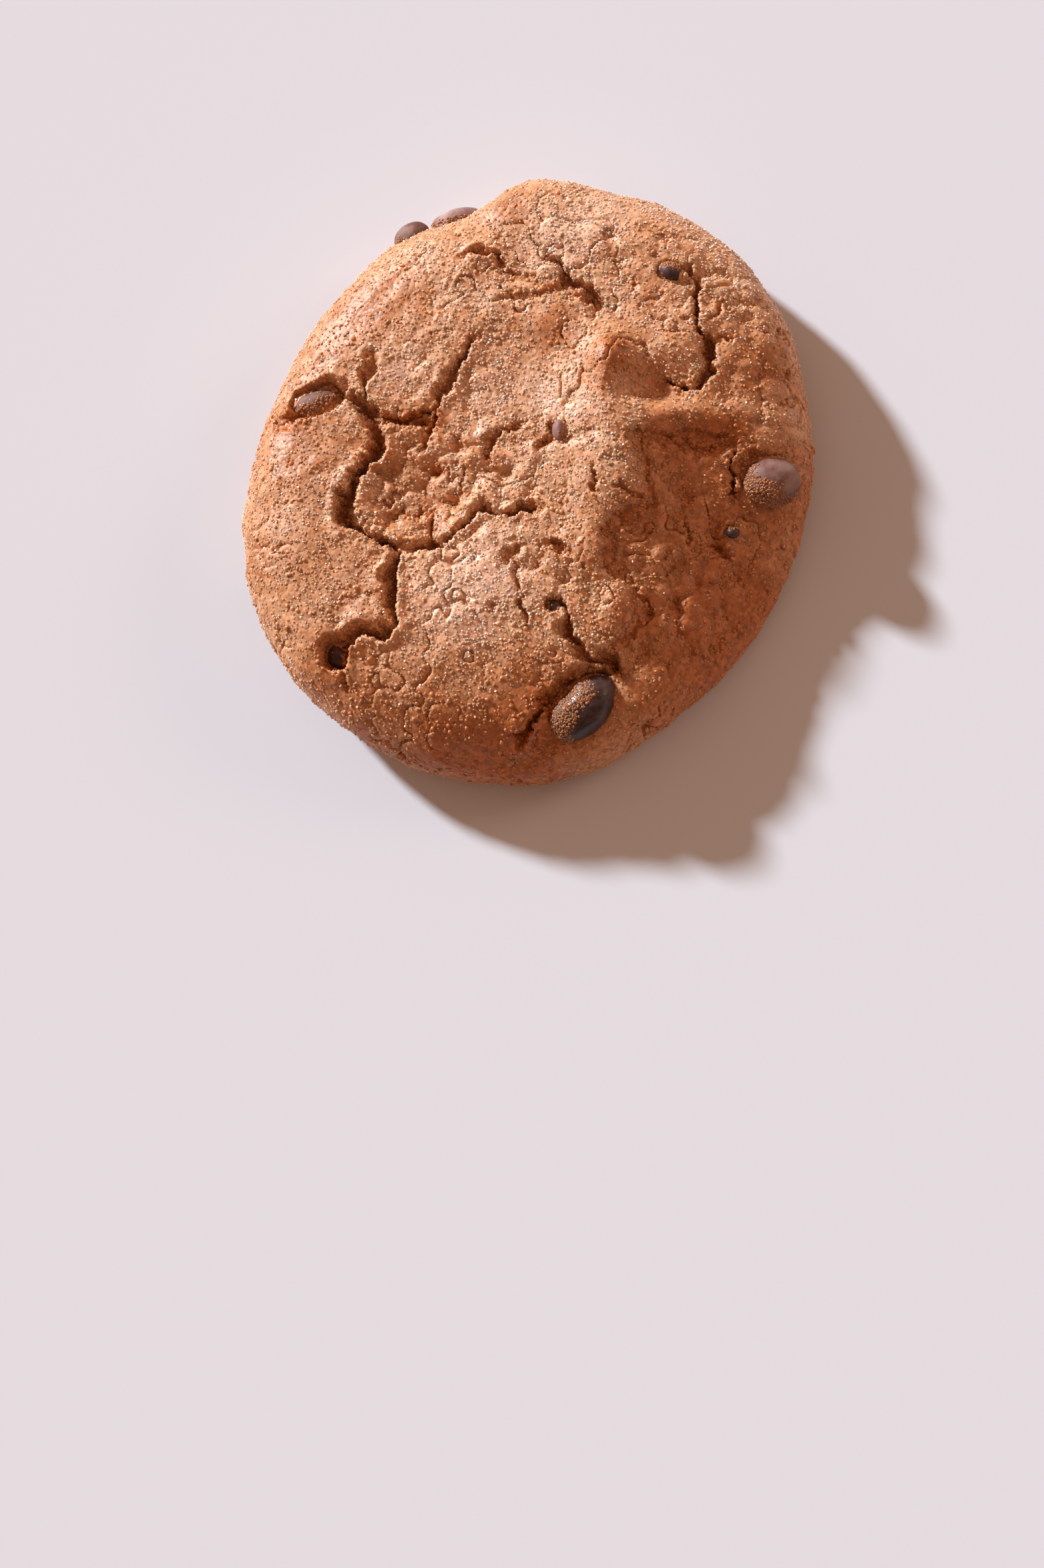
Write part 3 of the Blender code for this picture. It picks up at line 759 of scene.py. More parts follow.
    def torn(self, points: np.ndarray) -> tuple[np.ndarray, np.ndarray]:
        """Return the cracks' depth, less their lips, and how far into one each point is."""
        ragged = points[:, :2].copy()
        for ripple in RAGGED_EDGES:
            for axis in range(2):
                ragged[:, axis] += ripple.noise(points, self.seed + Draw.RAGGED + axis)
        depth = np.zeros(len(points))
        inside = np.zeros(len(points))
        lips = np.zeros(len(points))
        narrowing = self.narrow_share + NARROWING.noise(points, self.seed + Draw.NARROWING)
        for crack in itertools.chain(CRACKS.values(), SPLITS.values()):
            crack_depth, wall, lip = crack.at(ragged, narrowing)
            np.maximum(depth, crack_depth, out=depth)
            np.maximum(lips, lip, out=lips)
            if not crack.broad:
                np.maximum(inside, wall, out=inside)
        return depth - lips * (1.0 - inside), inside

    def crags(self, points: np.ndarray) -> tuple[np.ndarray, np.ndarray]:
        """Return the height of broken crumb where the face is rough, and its creases."""
        rough = np.clip(sum(spot.at(points[:, :2]) for spot in CRUMBLED), 0.0, 1.0)
        swayed = points.copy()
        for axis in range(3):
            swayed[:, axis] += CRAG_SWAY.noise(points, self.seed + Draw.CRAG_SWAY + axis)
        coarse = Pebbles(COARSE_CRAGS.cell, self.seed + Draw.COARSE_CRAGS).at(swayed)
        fine = Pebbles(FINE_CRAGS.cell, self.seed + Draw.FINE_CRAGS).at(swayed)
        crease = smooth_step((self.crag_crease_start - coarse) / self.crag_crease_width)
        height = COARSE_CRAGS.height * (coarse - self.crag_level)
        height += FINE_CRAGS.height * (fine - self.crag_level)
        return rough * (height - self.crag_crease_depth * crease), rough * crease

    def wrinkles(self, points: np.ndarray) -> np.ndarray:
        """Return the height of the wavy wrinkles on the back left of the face."""
        along = (points[:, 0] + points[:, 1]) / math.sqrt(2.0)
        across = (points[:, 1] - points[:, 0]) / math.sqrt(2.0)
        stretched = np.stack([along / self.wrinkle_stretch, across, points[:, 2]], axis=1)
        where = np.clip(sum(spot.at(points[:, :2]) for spot in WRINKLED), 0.0, 1.0)
        waves = LatticeNoise(WRINKLES.cell, self.seed + Draw.WRINKLES).at(stretched)
        return WRINKLES.height * where * waves

    def hairlines(self, points: np.ndarray) -> np.ndarray:
        """Return the depth of the fine random splits of the crust."""
        wander = layered(HAIRLINES, points, self.seed + Draw.HAIRLINES)
        places = HAIR_PLACES.noise(points, self.seed + Draw.HAIR_PLACES)
        where = smooth_step(places - self.hair_clear)
        return self.hair_depth * where * smooth_step(1.0 - np.abs(wander) / self.hair_width)

    def relief(self, skin: SkinPatch) -> tuple[np.ndarray, np.ndarray]:
        """Return how far the skin moves out at each point, and how torn it is there."""
        points = skin.points
        lift = sum(mound.at(points[:, :2]) for mound in MOUNDS.values())
        depth, inside = self.torn(points)
        pebbles = sum(ripple.pebbles(points, self.seed + Draw.PEBBLES + step)
                      for step, ripple in enumerate(PEBBLES))
        pebbles *= 1.0 + self.torn_pebbles * inside
        crags, creases = self.crags(points)
        foot_fade = smooth_step(points[:, 2] / (self.foot_share * self.face_height))
        lumps = layered(LUMPS, points, self.seed + Draw.LUMPS)
        detail = lumps + pebbles - self.hairlines(points)
        face = lift - depth + crags + self.wrinkles(points)
        height = skin.upside * face + foot_fade * detail - self.skin_sink * foot_fade
        # The torn share also marks the crags' creases, which the dough's colour darkens as painted
        # shade.
        return height, np.maximum(inside, self.crease_tearing_and_shade * creases) * skin.upside

    def underside(self, share: np.ndarray, angle: np.ndarray) -> np.ndarray:
        """Return the points of the underside: flat, with small pits and wrinkles."""
        reach = share * (self.rim_radius(angle) - self.foot_width)
        points = np.stack([reach * np.cos(angle), reach * np.sin(angle), share * 0.0], axis=1)
        pits = SOLE_PITS.noise(points, self.seed + Draw.SOLE_PITS) - self.pit_clear
        pores = SOLE_PORES.noise(points, self.seed + Draw.SOLE_PORES) - self.pore_clear
        wrinkle = np.abs(SOLE_CREASES.noise(points, self.seed + Draw.SOLE_CREASES))
        creases = smooth_step(1.0 - wrinkle / self.sole_crease_width)
        fade = smooth_step((1.0 - share) / self.sole_edge)
        points[:, 2] = fade * (self.pit_depth * smooth_step(pits)
                               + self.pore_depth * smooth_step(pores)
                               + self.sole_crease_depth * creases)
        return points

    def browning_and_painted_light(self, points: np.ndarray, height: np.ndarray) -> np.ndarray:
        """Return how browned the crust is, with painted light in it: from -1, painted pale where
        lit, to 1.

        Args:
            points: the plain skin.
            height: how far the relief moves the skin out.

        Returns:
            The browning of set patches, crests, the sides and the edge; many patches and the edge's
            one-sided darkening are painted shade.
        """
        patches = sum(spot.at(points[:, :2]) for spot in BROWNED_AND_PAINTED_LIGHT)
        side = smooth_step((self.side_top - points[:, 2]) / self.side_fall)
        crest = smooth_step((height - self.crest_start) / self.crest_width)
        mottle = MOTTLE.noise(points, self.seed + Draw.MOTTLE)
        angle = np.arctan2(points[:, 1], points[:, 0])
        outward = np.hypot(points[:, 0], points[:, 1]) / self.rim_radius(angle)
        edge = smooth_step((outward - self.edge_start) / self.edge_width)
        # Partly browning, partly painted shade: the edge darkens towards the front, away from the
        # light, and stays pale at the back, where the light comes from.
        edge *= (1.0 - np.cos(angle - math.radians(self.lit_side))) / 2.0
        return np.clip(patches + self.side_browning * side + self.edge_browning_and_shade * edge
                       + self.crest_browning * crest + mottle, -1.0, 1.0)

    def build(self) -> bpy.types.Object:
        """Make the dough's mesh with its browning, tearing and underside attributes.

        Returns:
            The dough, closed and centred as its solid is, with no material yet.
        """
        cells = self.grid_cells
        share, angle, quads = self.disc_grid(cells)
        skin = self.upper_skin(share, angle)
        height, inside = self.relief(skin)
        browned_and_shaded = self.browning_and_painted_light(skin.points, height)
        upper = skin.points + skin.normals * height[:, None]
        lower = self.underside(share, angle)
        inner = share < 1.0 - TINY
        below = np.arange(len(share))
        below[inner] = len(share) + np.arange(np.count_nonzero(inner))
        upper[:, 2] = np.maximum(upper[:, 2], 0.0)
        points = np.concatenate([upper, lower[inner]]) * np.array(self.inset)
        faces = np.concatenate([quads, below[quads][:, ::-1]])
        ones = np.ones(np.count_nonzero(inner))
        sole = smooth_step((self.sole_height - upper[:, 2]) / self.sole_height)
        values = {
            "browning_and_painted_light": np.concatenate([browned_and_shaded, ones]),
            "torn": np.concatenate([inside, ones * 0.0]),
            "underside": np.concatenate([sole, ones]),
        }
        low, high = box_mm("cookie_dough")
        middle = (points.min(axis=0) + points.max(axis=0)) / 2.0
        self.shift = np.append(((low + high) / 2.0 - middle)[:2], 0.0)
        points += self.shift
        face = np.flatnonzero(skin.upside > 0.0)
        for node, place in CHIPS.items():
            if place.on_face:
                points[face] = self.nested(points[face], node, place)
        return self.thinned(points, faces, values)

    def nested(self, points: np.ndarray, node: str, place: ChipPlace) -> np.ndarray:
        """Press the skin down under and close round a chip, so that it sits in a nest.

        Args:
            points: the points of the face, in millimetres.
            node: the chip's solid.
            place: the chip's half sizes and turn.

        Returns:
            The points, lowered where the chip lies.
        """
        low, high = box_mm(node)
        centre = (low + high) / 2.0
        turn = math.radians(place.turn)
        offset = points[:, :2] - centre[:2]
        along = offset @ np.array([math.cos(turn), math.sin(turn)])
        across = offset @ np.array([-math.sin(turn), math.cos(turn)])
        reach = np.hypot(along / (place.half_length + self.nest_gap),
                         across / (place.half_width + self.nest_gap))
        reach *= 1.0 + NEST_EDGE.noise(points, self.seed + Draw.NEST_EDGE)
        dome = place.half_height * np.sqrt(np.maximum(1.0 - reach ** 2, self.nest_floor ** 2))
        wall = self.nest_slope * np.maximum(reach - 1.0, 0.0)
        seat = centre[2] + dome + wall - self.nest_gap
        lowered = points.copy()
        under = reach < self.nest_wall
        lowered[under, 2] = np.minimum(points[under, 2], seat[under])
        return lowered

    def thinned(self, points: np.ndarray, faces: np.ndarray,
                values: dict[str, np.ndarray]) -> bpy.types.Object:
        """Thin the fine mesh to its triangle budget and carry the attributes over."""
        mesh = bpy.data.meshes.new("dough_fine")
        mesh.from_pydata((points * MM).tolist(), [], faces.tolist())
        fine = placed("dough_fine", mesh)
        thinning = fine.modifiers.new("thinning", "DECIMATE")
        thinning.ratio = min(1.0, self.triangles / (2.0 * len(faces)))
        graph = bpy.context.evaluated_depsgraph_get()
        dough_mesh = bpy.data.meshes.new_from_object(fine.evaluated_get(graph))
        dough_mesh.name = "dough_surface"
        for corner in dough_mesh.vertices:
            corner.co.z = max(corner.co.z, 0.0)
        bpy.data.objects.remove(fine, do_unlink=True)
        carry_values(dough_mesh, points * MM, values)
        dough_mesh.shade_smooth()
        return placed("dough_surface", dough_mesh)


def carry_values(mesh: bpy.types.Mesh, points: np.ndarray,
                 values: dict[str, np.ndarray]) -> None:
    """Give each corner of a thinned mesh the values of the fine point nearest to it.

    Args:
        mesh: the thinned mesh.
        points: the fine points, in metres.
        values: one number per fine point, by attribute name.
    """
    tree = KDTree(len(points))
    for number, point in enumerate(points):
        tree.insert(point, number)
    tree.balance()
    nearest = np.array([tree.find(corner.co)[1] for corner in mesh.vertices])
    for name, value in values.items():
        give_values(mesh, name, value[nearest])


@dataclass
class ChocolateChip:
    """One melted chip: an uneven rounded lump with soft dents."""

    node: str
    place: ChipPlace
    seed: int
    rings: int = 28
    sides: int = 44
    film_top: float = 0.2
    film_edge: float = 0.15

    def build(self) -> bpy.types.Object:
        """Make the chip's mesh where its solid is."""
        work = bmesh.new()
        bmesh.ops.create_uvsphere(work, u_segments=self.sides, v_segments=self.rings, radius=1.0)
        corners = np.array([corner.co for corner in work.verts])
        dents = layered(CHIP_DENTS, corners, self.seed)
        half = np.array([self.place.half_length, self.place.half_width, self.place.half_height])
        turn = math.radians(self.place.turn)
        lump = corners * (1.0 + dents)[:, None] * half
        spin = np.array([[math.cos(turn), -math.sin(turn), 0.0],
                         [math.sin(turn), math.cos(turn), 0.0], [0.0, 0.0, 1.0]])
        low, high = box_mm(self.node)
        lump = lump @ spin.T + (low + high) / 2.0
        for corner, point in zip(work.verts, lump * MM):
            corner.co = point
        mesh = bpy.data.meshes.new(self.node + "_chocolate")
        work.to_mesh(mesh)
        work.free()
        mesh.shade_smooth()
        give_values(mesh, "film", self.film(corners @ spin.T))
        return placed(self.node + "_chocolate", mesh)

    def film(self, round_points: np.ndarray) -> np.ndarray:
        """Return how much crumb lies at each point of the turned round lump."""
        start = math.radians(self.place.film_from)
        side = round_points[:, :2] @ np.array([math.cos(start), math.sin(start)])
        patchy = FILM_EDGE.noise(round_points, self.seed + len(CHIP_DENTS))
        reach = side + patchy + 2.0 * self.place.film - 1.0
        return ease_about(round_points[:, 2], self.film_top) * ease_about(reach, self.film_edge)


def gathered(chips: list[bpy.types.Object]) -> bpy.types.Object:
    """Gather the chips into one ground for their crumb, with its cover."""
    points, faces, film = [], [], []
    for chip in chips:
        start = len(points)
        points.extend(corner.co for corner in chip.data.vertices)
        faces.extend([start + corner for corner in face.vertices] for face in chip.data.polygons)
        film.extend(item.value for item in chip.data.attributes["film"].data)
    mesh = bpy.data.meshes.new("chip_ground")
    mesh.from_pydata(points, [], faces)
    give_values(mesh, "film", film)
    for name, share in CHIP_CRUMB_TONE_AND_SHADE.items():
        give_values(mesh, name, [share] * len(points))
    return bpy.data.objects.new("chip_ground", mesh)


@dataclass(frozen=True)
class BakedDough:
    """Baked cookie dough: butter, flour and sugar, browned where it stood proud.

    The eye sees a matt, sandy crust that light soaks into a little. Its colour holds painted light:
    pale and pinkish on lit plateaus, orange brown where it toasted and as painted shade where the
    face lies in shade, and darker and redder inside tears, partly the torn crumb's tone and partly
    painted shade.
    """

    name: str = "baked cookie dough"
    pale: str = "#DDAC85"
    # painted light: a pale pinkish tone put on lit plateaus
    painted_lit_pale: str = "#EDC6AC"
    middle: str = "#CB8C5C"
    # browned crust, and painted shade where the face lies in shade
    browned_and_shaded: str = "#B0601F"
    # torn crumb, darker and redder inside cracks: partly its own tone, partly painted shade
    torn: str = "#BA7038"
    underside: str = "#7C4425"
    patch_mm: float = 6.0
    mottle_mm: float = 1.5
    grain_mm: float = 0.42
    tone_range: tuple[float, float] = (0.75, 1.25)
    brown_range: tuple[float, float] = (0.05, 1.0)
    most_browned_and_shaded: float = 0.85
    lit_pale_end: float = -0.6
    most_lit_pale: float = 0.9
    torn_shade_range: tuple[float, float] = (0.15, 0.9)
    most_torn_shade: float = 0.65
    grain_range: tuple[float, float] = (0.70, 1.22)
    grain_bump_mm: float = 0.05
    roughness: float = 0.48
    soak: float = 0.7
    soak_mm: float = 0.6

    def crust(self, tree: Tree, place: Socket) -> Socket:
        """Mix the colour of the crust, from pale to browned, with painted shade and painted light
        from the browning attribute.

        Args:
            tree: the material's tree.
            place: the socket that gives each point's place on the object.

        Returns:
            The socket of the colour.
        """
        patches = noise_share(tree, place, self.patch_mm, {"Detail": 4.0})
        mottle = noise_share(tree, place, self.mottle_mm, {"Detail": 3.0})
        tone = add_node(tree, "ShaderNodeMath", {0: patches, 1: mottle}, operation="ADD")
        plain = mixed(tree, mapped(tree, tone.outputs[0], *self.tone_range),
                      linear(self.middle), linear(self.pale))
        browning_and_painted_light = attribute_share(tree, "browning_and_painted_light")
        # painted shade: the browned colour also darkens the places that the browning attribute puts
        # in shade
        brown_and_shade_share = mapped(tree, browning_and_painted_light, *self.brown_range, 0.0, self.most_browned_and_shaded)
        toasted_and_shaded = mixed(tree, brown_and_shade_share, plain, linear(self.browned_and_shaded))
        # painted light: pale where the browning is below zero, on lit plateaus
        lit_pale_share = mapped(tree, browning_and_painted_light, 0.0, self.lit_pale_end, 0.0, self.most_lit_pale)
        return mixed(tree, lit_pale_share, toasted_and_shaded, linear(self.painted_lit_pale))

    def material(self) -> bpy.types.Material:
        """Build the dough's material."""
        material, tree, shader = blank_material(self.name, {
            "Roughness": self.roughness, "IOR": 1.55, "Specular IOR Level": 0.5,
            "Subsurface Weight": self.soak, "Subsurface Radius": (1.0, 0.8, 0.65),
            "Subsurface Scale": self.soak_mm * MM})
        place = add_node(tree, "ShaderNodeTexCoord").outputs["Object"]
        # painted shade, in part: the torn colour darkens cracks and crag creases
        torn_shade_share = mapped(tree, attribute_share(tree, "torn"), *self.torn_shade_range,
                            0.0, self.most_torn_shade)
        crumbed_and_shaded = mixed(tree, torn_shade_share, self.crust(tree, place), linear(self.torn))
        soled = mixed(tree, attribute_share(tree, "underside"), crumbed_and_shaded, linear(self.underside))
        grain = add_node(tree, "ShaderNodeTexVoronoi", {
            "Vector": place, "Scale": 1.0 / (self.grain_mm * MM)})
        grain_tone = add_node(tree, "ShaderNodeSeparateColor", {"Color": grain.outputs["Color"]})
        grain_light = mapped(tree, grain_tone.outputs["Red"], 0.0, 1.0, *self.grain_range)
        grained = mixed(tree, 1.0, soled, grain_light, "MULTIPLY")
        tree.links.new(grained, shader.inputs["Base Color"])
        cap = add_node(tree, "ShaderNodeMath", {
            0: grain.outputs["Distance"], 1: 2.0}, operation="POWER")
        bump = add_node(tree, "ShaderNodeBump", {
            "Height": cap.outputs[0], "Strength": 1.0,
            "Distance": self.grain_bump_mm * MM}, invert=True)
        tree.links.new(bump.outputs["Normal"], shader.inputs["Normal"])
        return material


@dataclass(frozen=True)
class SugarCrystal:
    """Granulated sugar that stayed whole on the crust.

    The eye sees small pale pink glints. They take a browner colour where the crust's browning
    attribute is high, partly toasting and partly painted shade that keeps crystals on the shaded
    face dark.
    """

    name: str = "sugar crystals"
    colour: str = "#F2D5C8"
    shaded: str = "#C98F63"
    tint_mm: float = 2.0
    toasting_and_shade: float = 0.8
    roughness: float = 0.42
    soak: float = 0.7
    soak_mm: float = 0.4

    def material(self) -> bpy.types.Material:
        """Build the sugar's material."""
        material, tree, shader = blank_material(self.name, {
            "Roughness": self.roughness, "IOR": 1.54, "Subsurface Weight": self.soak,
            "Subsurface Radius": (1.0, 0.85, 0.75), "Subsurface Scale": self.soak_mm * MM})
        place = add_node(tree, "ShaderNodeTexCoord").outputs["Object"]
        # painted shade, in part: crystals take the shaded colour where the browning attribute is
        # high
        toast_and_shade = add_node(tree, "ShaderNodeMath", {
            0: attribute_share(tree, "browning_and_painted_light"), 1: self.toasting_and_shade,
            2: noise_share(tree, place, self.tint_mm)},
            operation="MULTIPLY_ADD", use_clamp=True)
        colour = mixed(tree, toast_and_shade.outputs[0], linear(self.colour), linear(self.shaded))
        tree.links.new(colour, shader.inputs["Base Color"])
        return material


@dataclass(frozen=True)
class MeltedChocolate:
    """Chocolate that melted and set in the oven.

    The eye sees a dark satin lump, clouded with grey pink bloom where it is duller.
    """

    tone: ChipTone
    cloud_mm: float = 2.6
    cloud_range: tuple[float, float] = (0.42, 0.66)
    bloom_roughness: float = 0.25
    grit_mm: float = 0.5
    grit_bump_mm: float = 0.08

    def material(self) -> bpy.types.Material:
        """Build the chocolate's material."""
        dark, bloom, roughness = self.tone.value
        name = "melted chocolate " + self.tone.name.lower()
        material, tree, shader = blank_material(name, {"IOR": 1.46})
        place = add_node(tree, "ShaderNodeTexCoord").outputs["Object"]
        cloud = noise_share(tree, place, self.cloud_mm, {"Detail": 5.0, "Roughness": 0.6})
        cloud_share = mapped(tree, cloud, *self.cloud_range)
        bloomed = mixed(tree, cloud_share, linear(dark), linear(bloom))
        tree.links.new(bloomed, shader.inputs["Base Color"])
        gloss = mapped(tree, cloud_share, 0.0, 1.0, roughness, roughness + self.bloom_roughness)
        tree.links.new(gloss, shader.inputs["Roughness"])
        bump = add_node(tree, "ShaderNodeBump", {
            "Height": noise_share(tree, place, self.grit_mm, {"Detail": 4.0}),
            "Strength": 0.5, "Distance": self.grit_bump_mm * MM})
        tree.links.new(bump.outputs["Normal"], shader.inputs["Normal"])
        return material


class GrainShape(Enum):
    """The small solid that a kind of grain is made of."""

    CRUMB = "GeometryNodeMeshIcoSphere"
    CRYSTAL = "GeometryNodeMeshCube"


@dataclass(frozen=True)
class GrainLayer:
    """A kind of grain spread over a ground by a cover attribute, with sizes in millimetres."""

    name: str
    shape: GrainShape
    size: float
    spread: float
    count: int
    sink: float
    cover: str
    seed: int
    smooth: bool = True

    def primitive(self, tree: Tree, size: Socket) -> bpy.types.Node:
        """Add the node that makes one grain of a size across."""
        if self.shape is GrainShape.CRYSTAL:
            box = add_node(tree, "ShaderNodeCombineXYZ", {0: size, 1: size, 2: size})
            return add_node(tree, self.shape.value, {"Size": box.outputs[0]})
        half = add_node(tree, "ShaderNodeMath", {0: size, 1: 0.5}, operation="MULTIPLY")
        return add_node(tree, self.shape.value, {"Radius": half.outputs[0], "Subdivisions": 1})

    def tree(self, material: bpy.types.Material) -> Tree:
        """Build the tree that spreads the grains: points by cover, a grain on each."""
        tree = bpy.data.node_groups.new(self.name, "GeometryNodeTree")
        face = tree.interface
        face.new_socket("Geometry", in_out="INPUT", socket_type="NodeSocketGeometry")
        for label in ("Grain Size", "Size Spread", "Density", "Sink"):
            face.new_socket(label, in_out="INPUT", socket_type="NodeSocketFloat")
        face.new_socket("Seed", in_out="INPUT", socket_type="NodeSocketInt")
        face.new_socket("Geometry", in_out="OUTPUT", socket_type="NodeSocketGeometry")
        given = add_node(tree, "NodeGroupInput").outputs
        cover = add_node(tree, "GeometryNodeInputNamedAttribute", {"Name": self.cover},
                         data_type="FLOAT")
        density = add_node(tree, "ShaderNodeMath", {
            0: cover.outputs[0], 1: given["Density"]}, operation="MULTIPLY")
        points = add_node(tree, "GeometryNodeDistributePointsOnFaces", {
            "Mesh": given["Geometry"], "Density": density.outputs[0], "Seed": given["Seed"]})
        deeper = add_node(tree, "ShaderNodeVectorMath", {
            0: points.outputs["Normal"], "Scale": given["Sink"]}, operation="SCALE")
        sunk = add_node(tree, "GeometryNodeSetPosition", {
            "Geometry": points.outputs["Points"], "Offset": deeper.outputs[0]})
        least = add_node(tree, "ShaderNodeMath", {
            0: 1.0, 1: given["Size Spread"]}, operation="SUBTRACT")
        most = add_node(tree, "ShaderNodeMath", {0: 1.0, 1: given["Size Spread"]}, operation="ADD")
        low = add_node(tree, "ShaderNodeCombineXYZ", {
            axis: least.outputs[0] for axis in range(3)})
        high = add_node(tree, "ShaderNodeCombineXYZ", {
            axis: most.outputs[0] for axis in range(3)})
        scale = add_node(tree, "FunctionNodeRandomValue", {
            0: low.outputs[0], 1: high.outputs[0], "Seed": given["Seed"]},
            data_type="FLOAT_VECTOR")
        turn = add_node(tree, "FunctionNodeRandomValue", {
            0: (0.0, 0.0, 0.0), 1: (FULL_TURN,) * 3, "Seed": given["Seed"]},
            data_type="FLOAT_VECTOR")
        grain = self.primitive(tree, given["Grain Size"])
        spread = add_node(tree, "GeometryNodeInstanceOnPoints", {
            "Points": sunk.outputs[0], "Instance": grain.outputs["Mesh"],
            "Rotation": turn.outputs[0], "Scale": scale.outputs[0]})
        real = add_node(tree, "GeometryNodeRealizeInstances", {
            "Geometry": spread.outputs[0]})
        shaded = add_node(tree, "GeometryNodeSetShadeSmooth", {
            "Geometry": real.outputs[0], "Shade Smooth": self.smooth})
        dressed = add_node(tree, "GeometryNodeSetMaterial", {
            "Geometry": shaded.outputs[0], "Material": material})
        add_node(tree, "NodeGroupOutput", {"Geometry": dressed.outputs[0]})
        return tree

    def build(self, ground: bpy.types.Object, material: bpy.types.Material) -> bpy.types.Object:
        """Spread the grains over a ground.

        Args:
            ground: the dough or the chips, with the cover attribute.
            material: what the grains are made of.

        Returns:
            The grains as one plain mesh.
        """
        carrier = placed(self.name, ground.data.copy())
        modifier = carrier.modifiers.new("grains", "NODES")
        modifier.node_group = self.tree(material)
        values = {"Grain Size": self.size * MM, "Size Spread": self.spread,
                  "Density": self.density(ground.data), "Sink": self.sink * MM,
                  "Seed": self.seed}
        for item in modifier.node_group.interface.items_tree:
            if item.in_out == "INPUT" and item.name in values:
                modifier[item.identifier] = values[item.name]
        graph = bpy.context.evaluated_depsgraph_get()
        mesh = bpy.data.meshes.new_from_object(carrier.evaluated_get(graph))
        carrier.modifiers.clear()
        carrier.data = mesh
        return carrier

    def density(self, mesh: bpy.types.Mesh) -> float:
        """Return the grains per square metre of full cover that give the wanted count."""
        cover = np.empty(len(mesh.vertices), dtype=np.float32)
        mesh.attributes[self.cover].data.foreach_get("value", cover)
        areas = np.empty(len(mesh.polygons), dtype=np.float32)
        mesh.polygons.foreach_get("area", areas)
        corners = np.array([polygon.vertices[0] for polygon in mesh.polygons])
        return self.count / max(float(np.sum(areas * cover[corners])), TINY)


CRUST_LAYERS = (
    GrainLayer("crust_grains", GrainShape.CRUMB, 0.44, 0.3, 9600, -0.16, "crust_cover", 3),
    GrainLayer("fine_grains", GrainShape.CRUMB, 0.34, 0.3, 9600, -0.12, "crust_cover", 4),
    GrainLayer("loose_crumbs", GrainShape.CRUMB, 0.55, 0.45, 5500, -0.08, "crumb_cover", 5),
)

SUGAR_LAYER = GrainLayer("sugar_crystals", GrainShape.CRYSTAL, 0.17, 0.4, 15000, 0.02,
                         "sugar_cover", 8, smooth=False)

CHIP_CRUMBS = GrainLayer("chip_crumbs", GrainShape.CRUMB, 0.40, 0.45, 2600, -0.10, "film", 9)


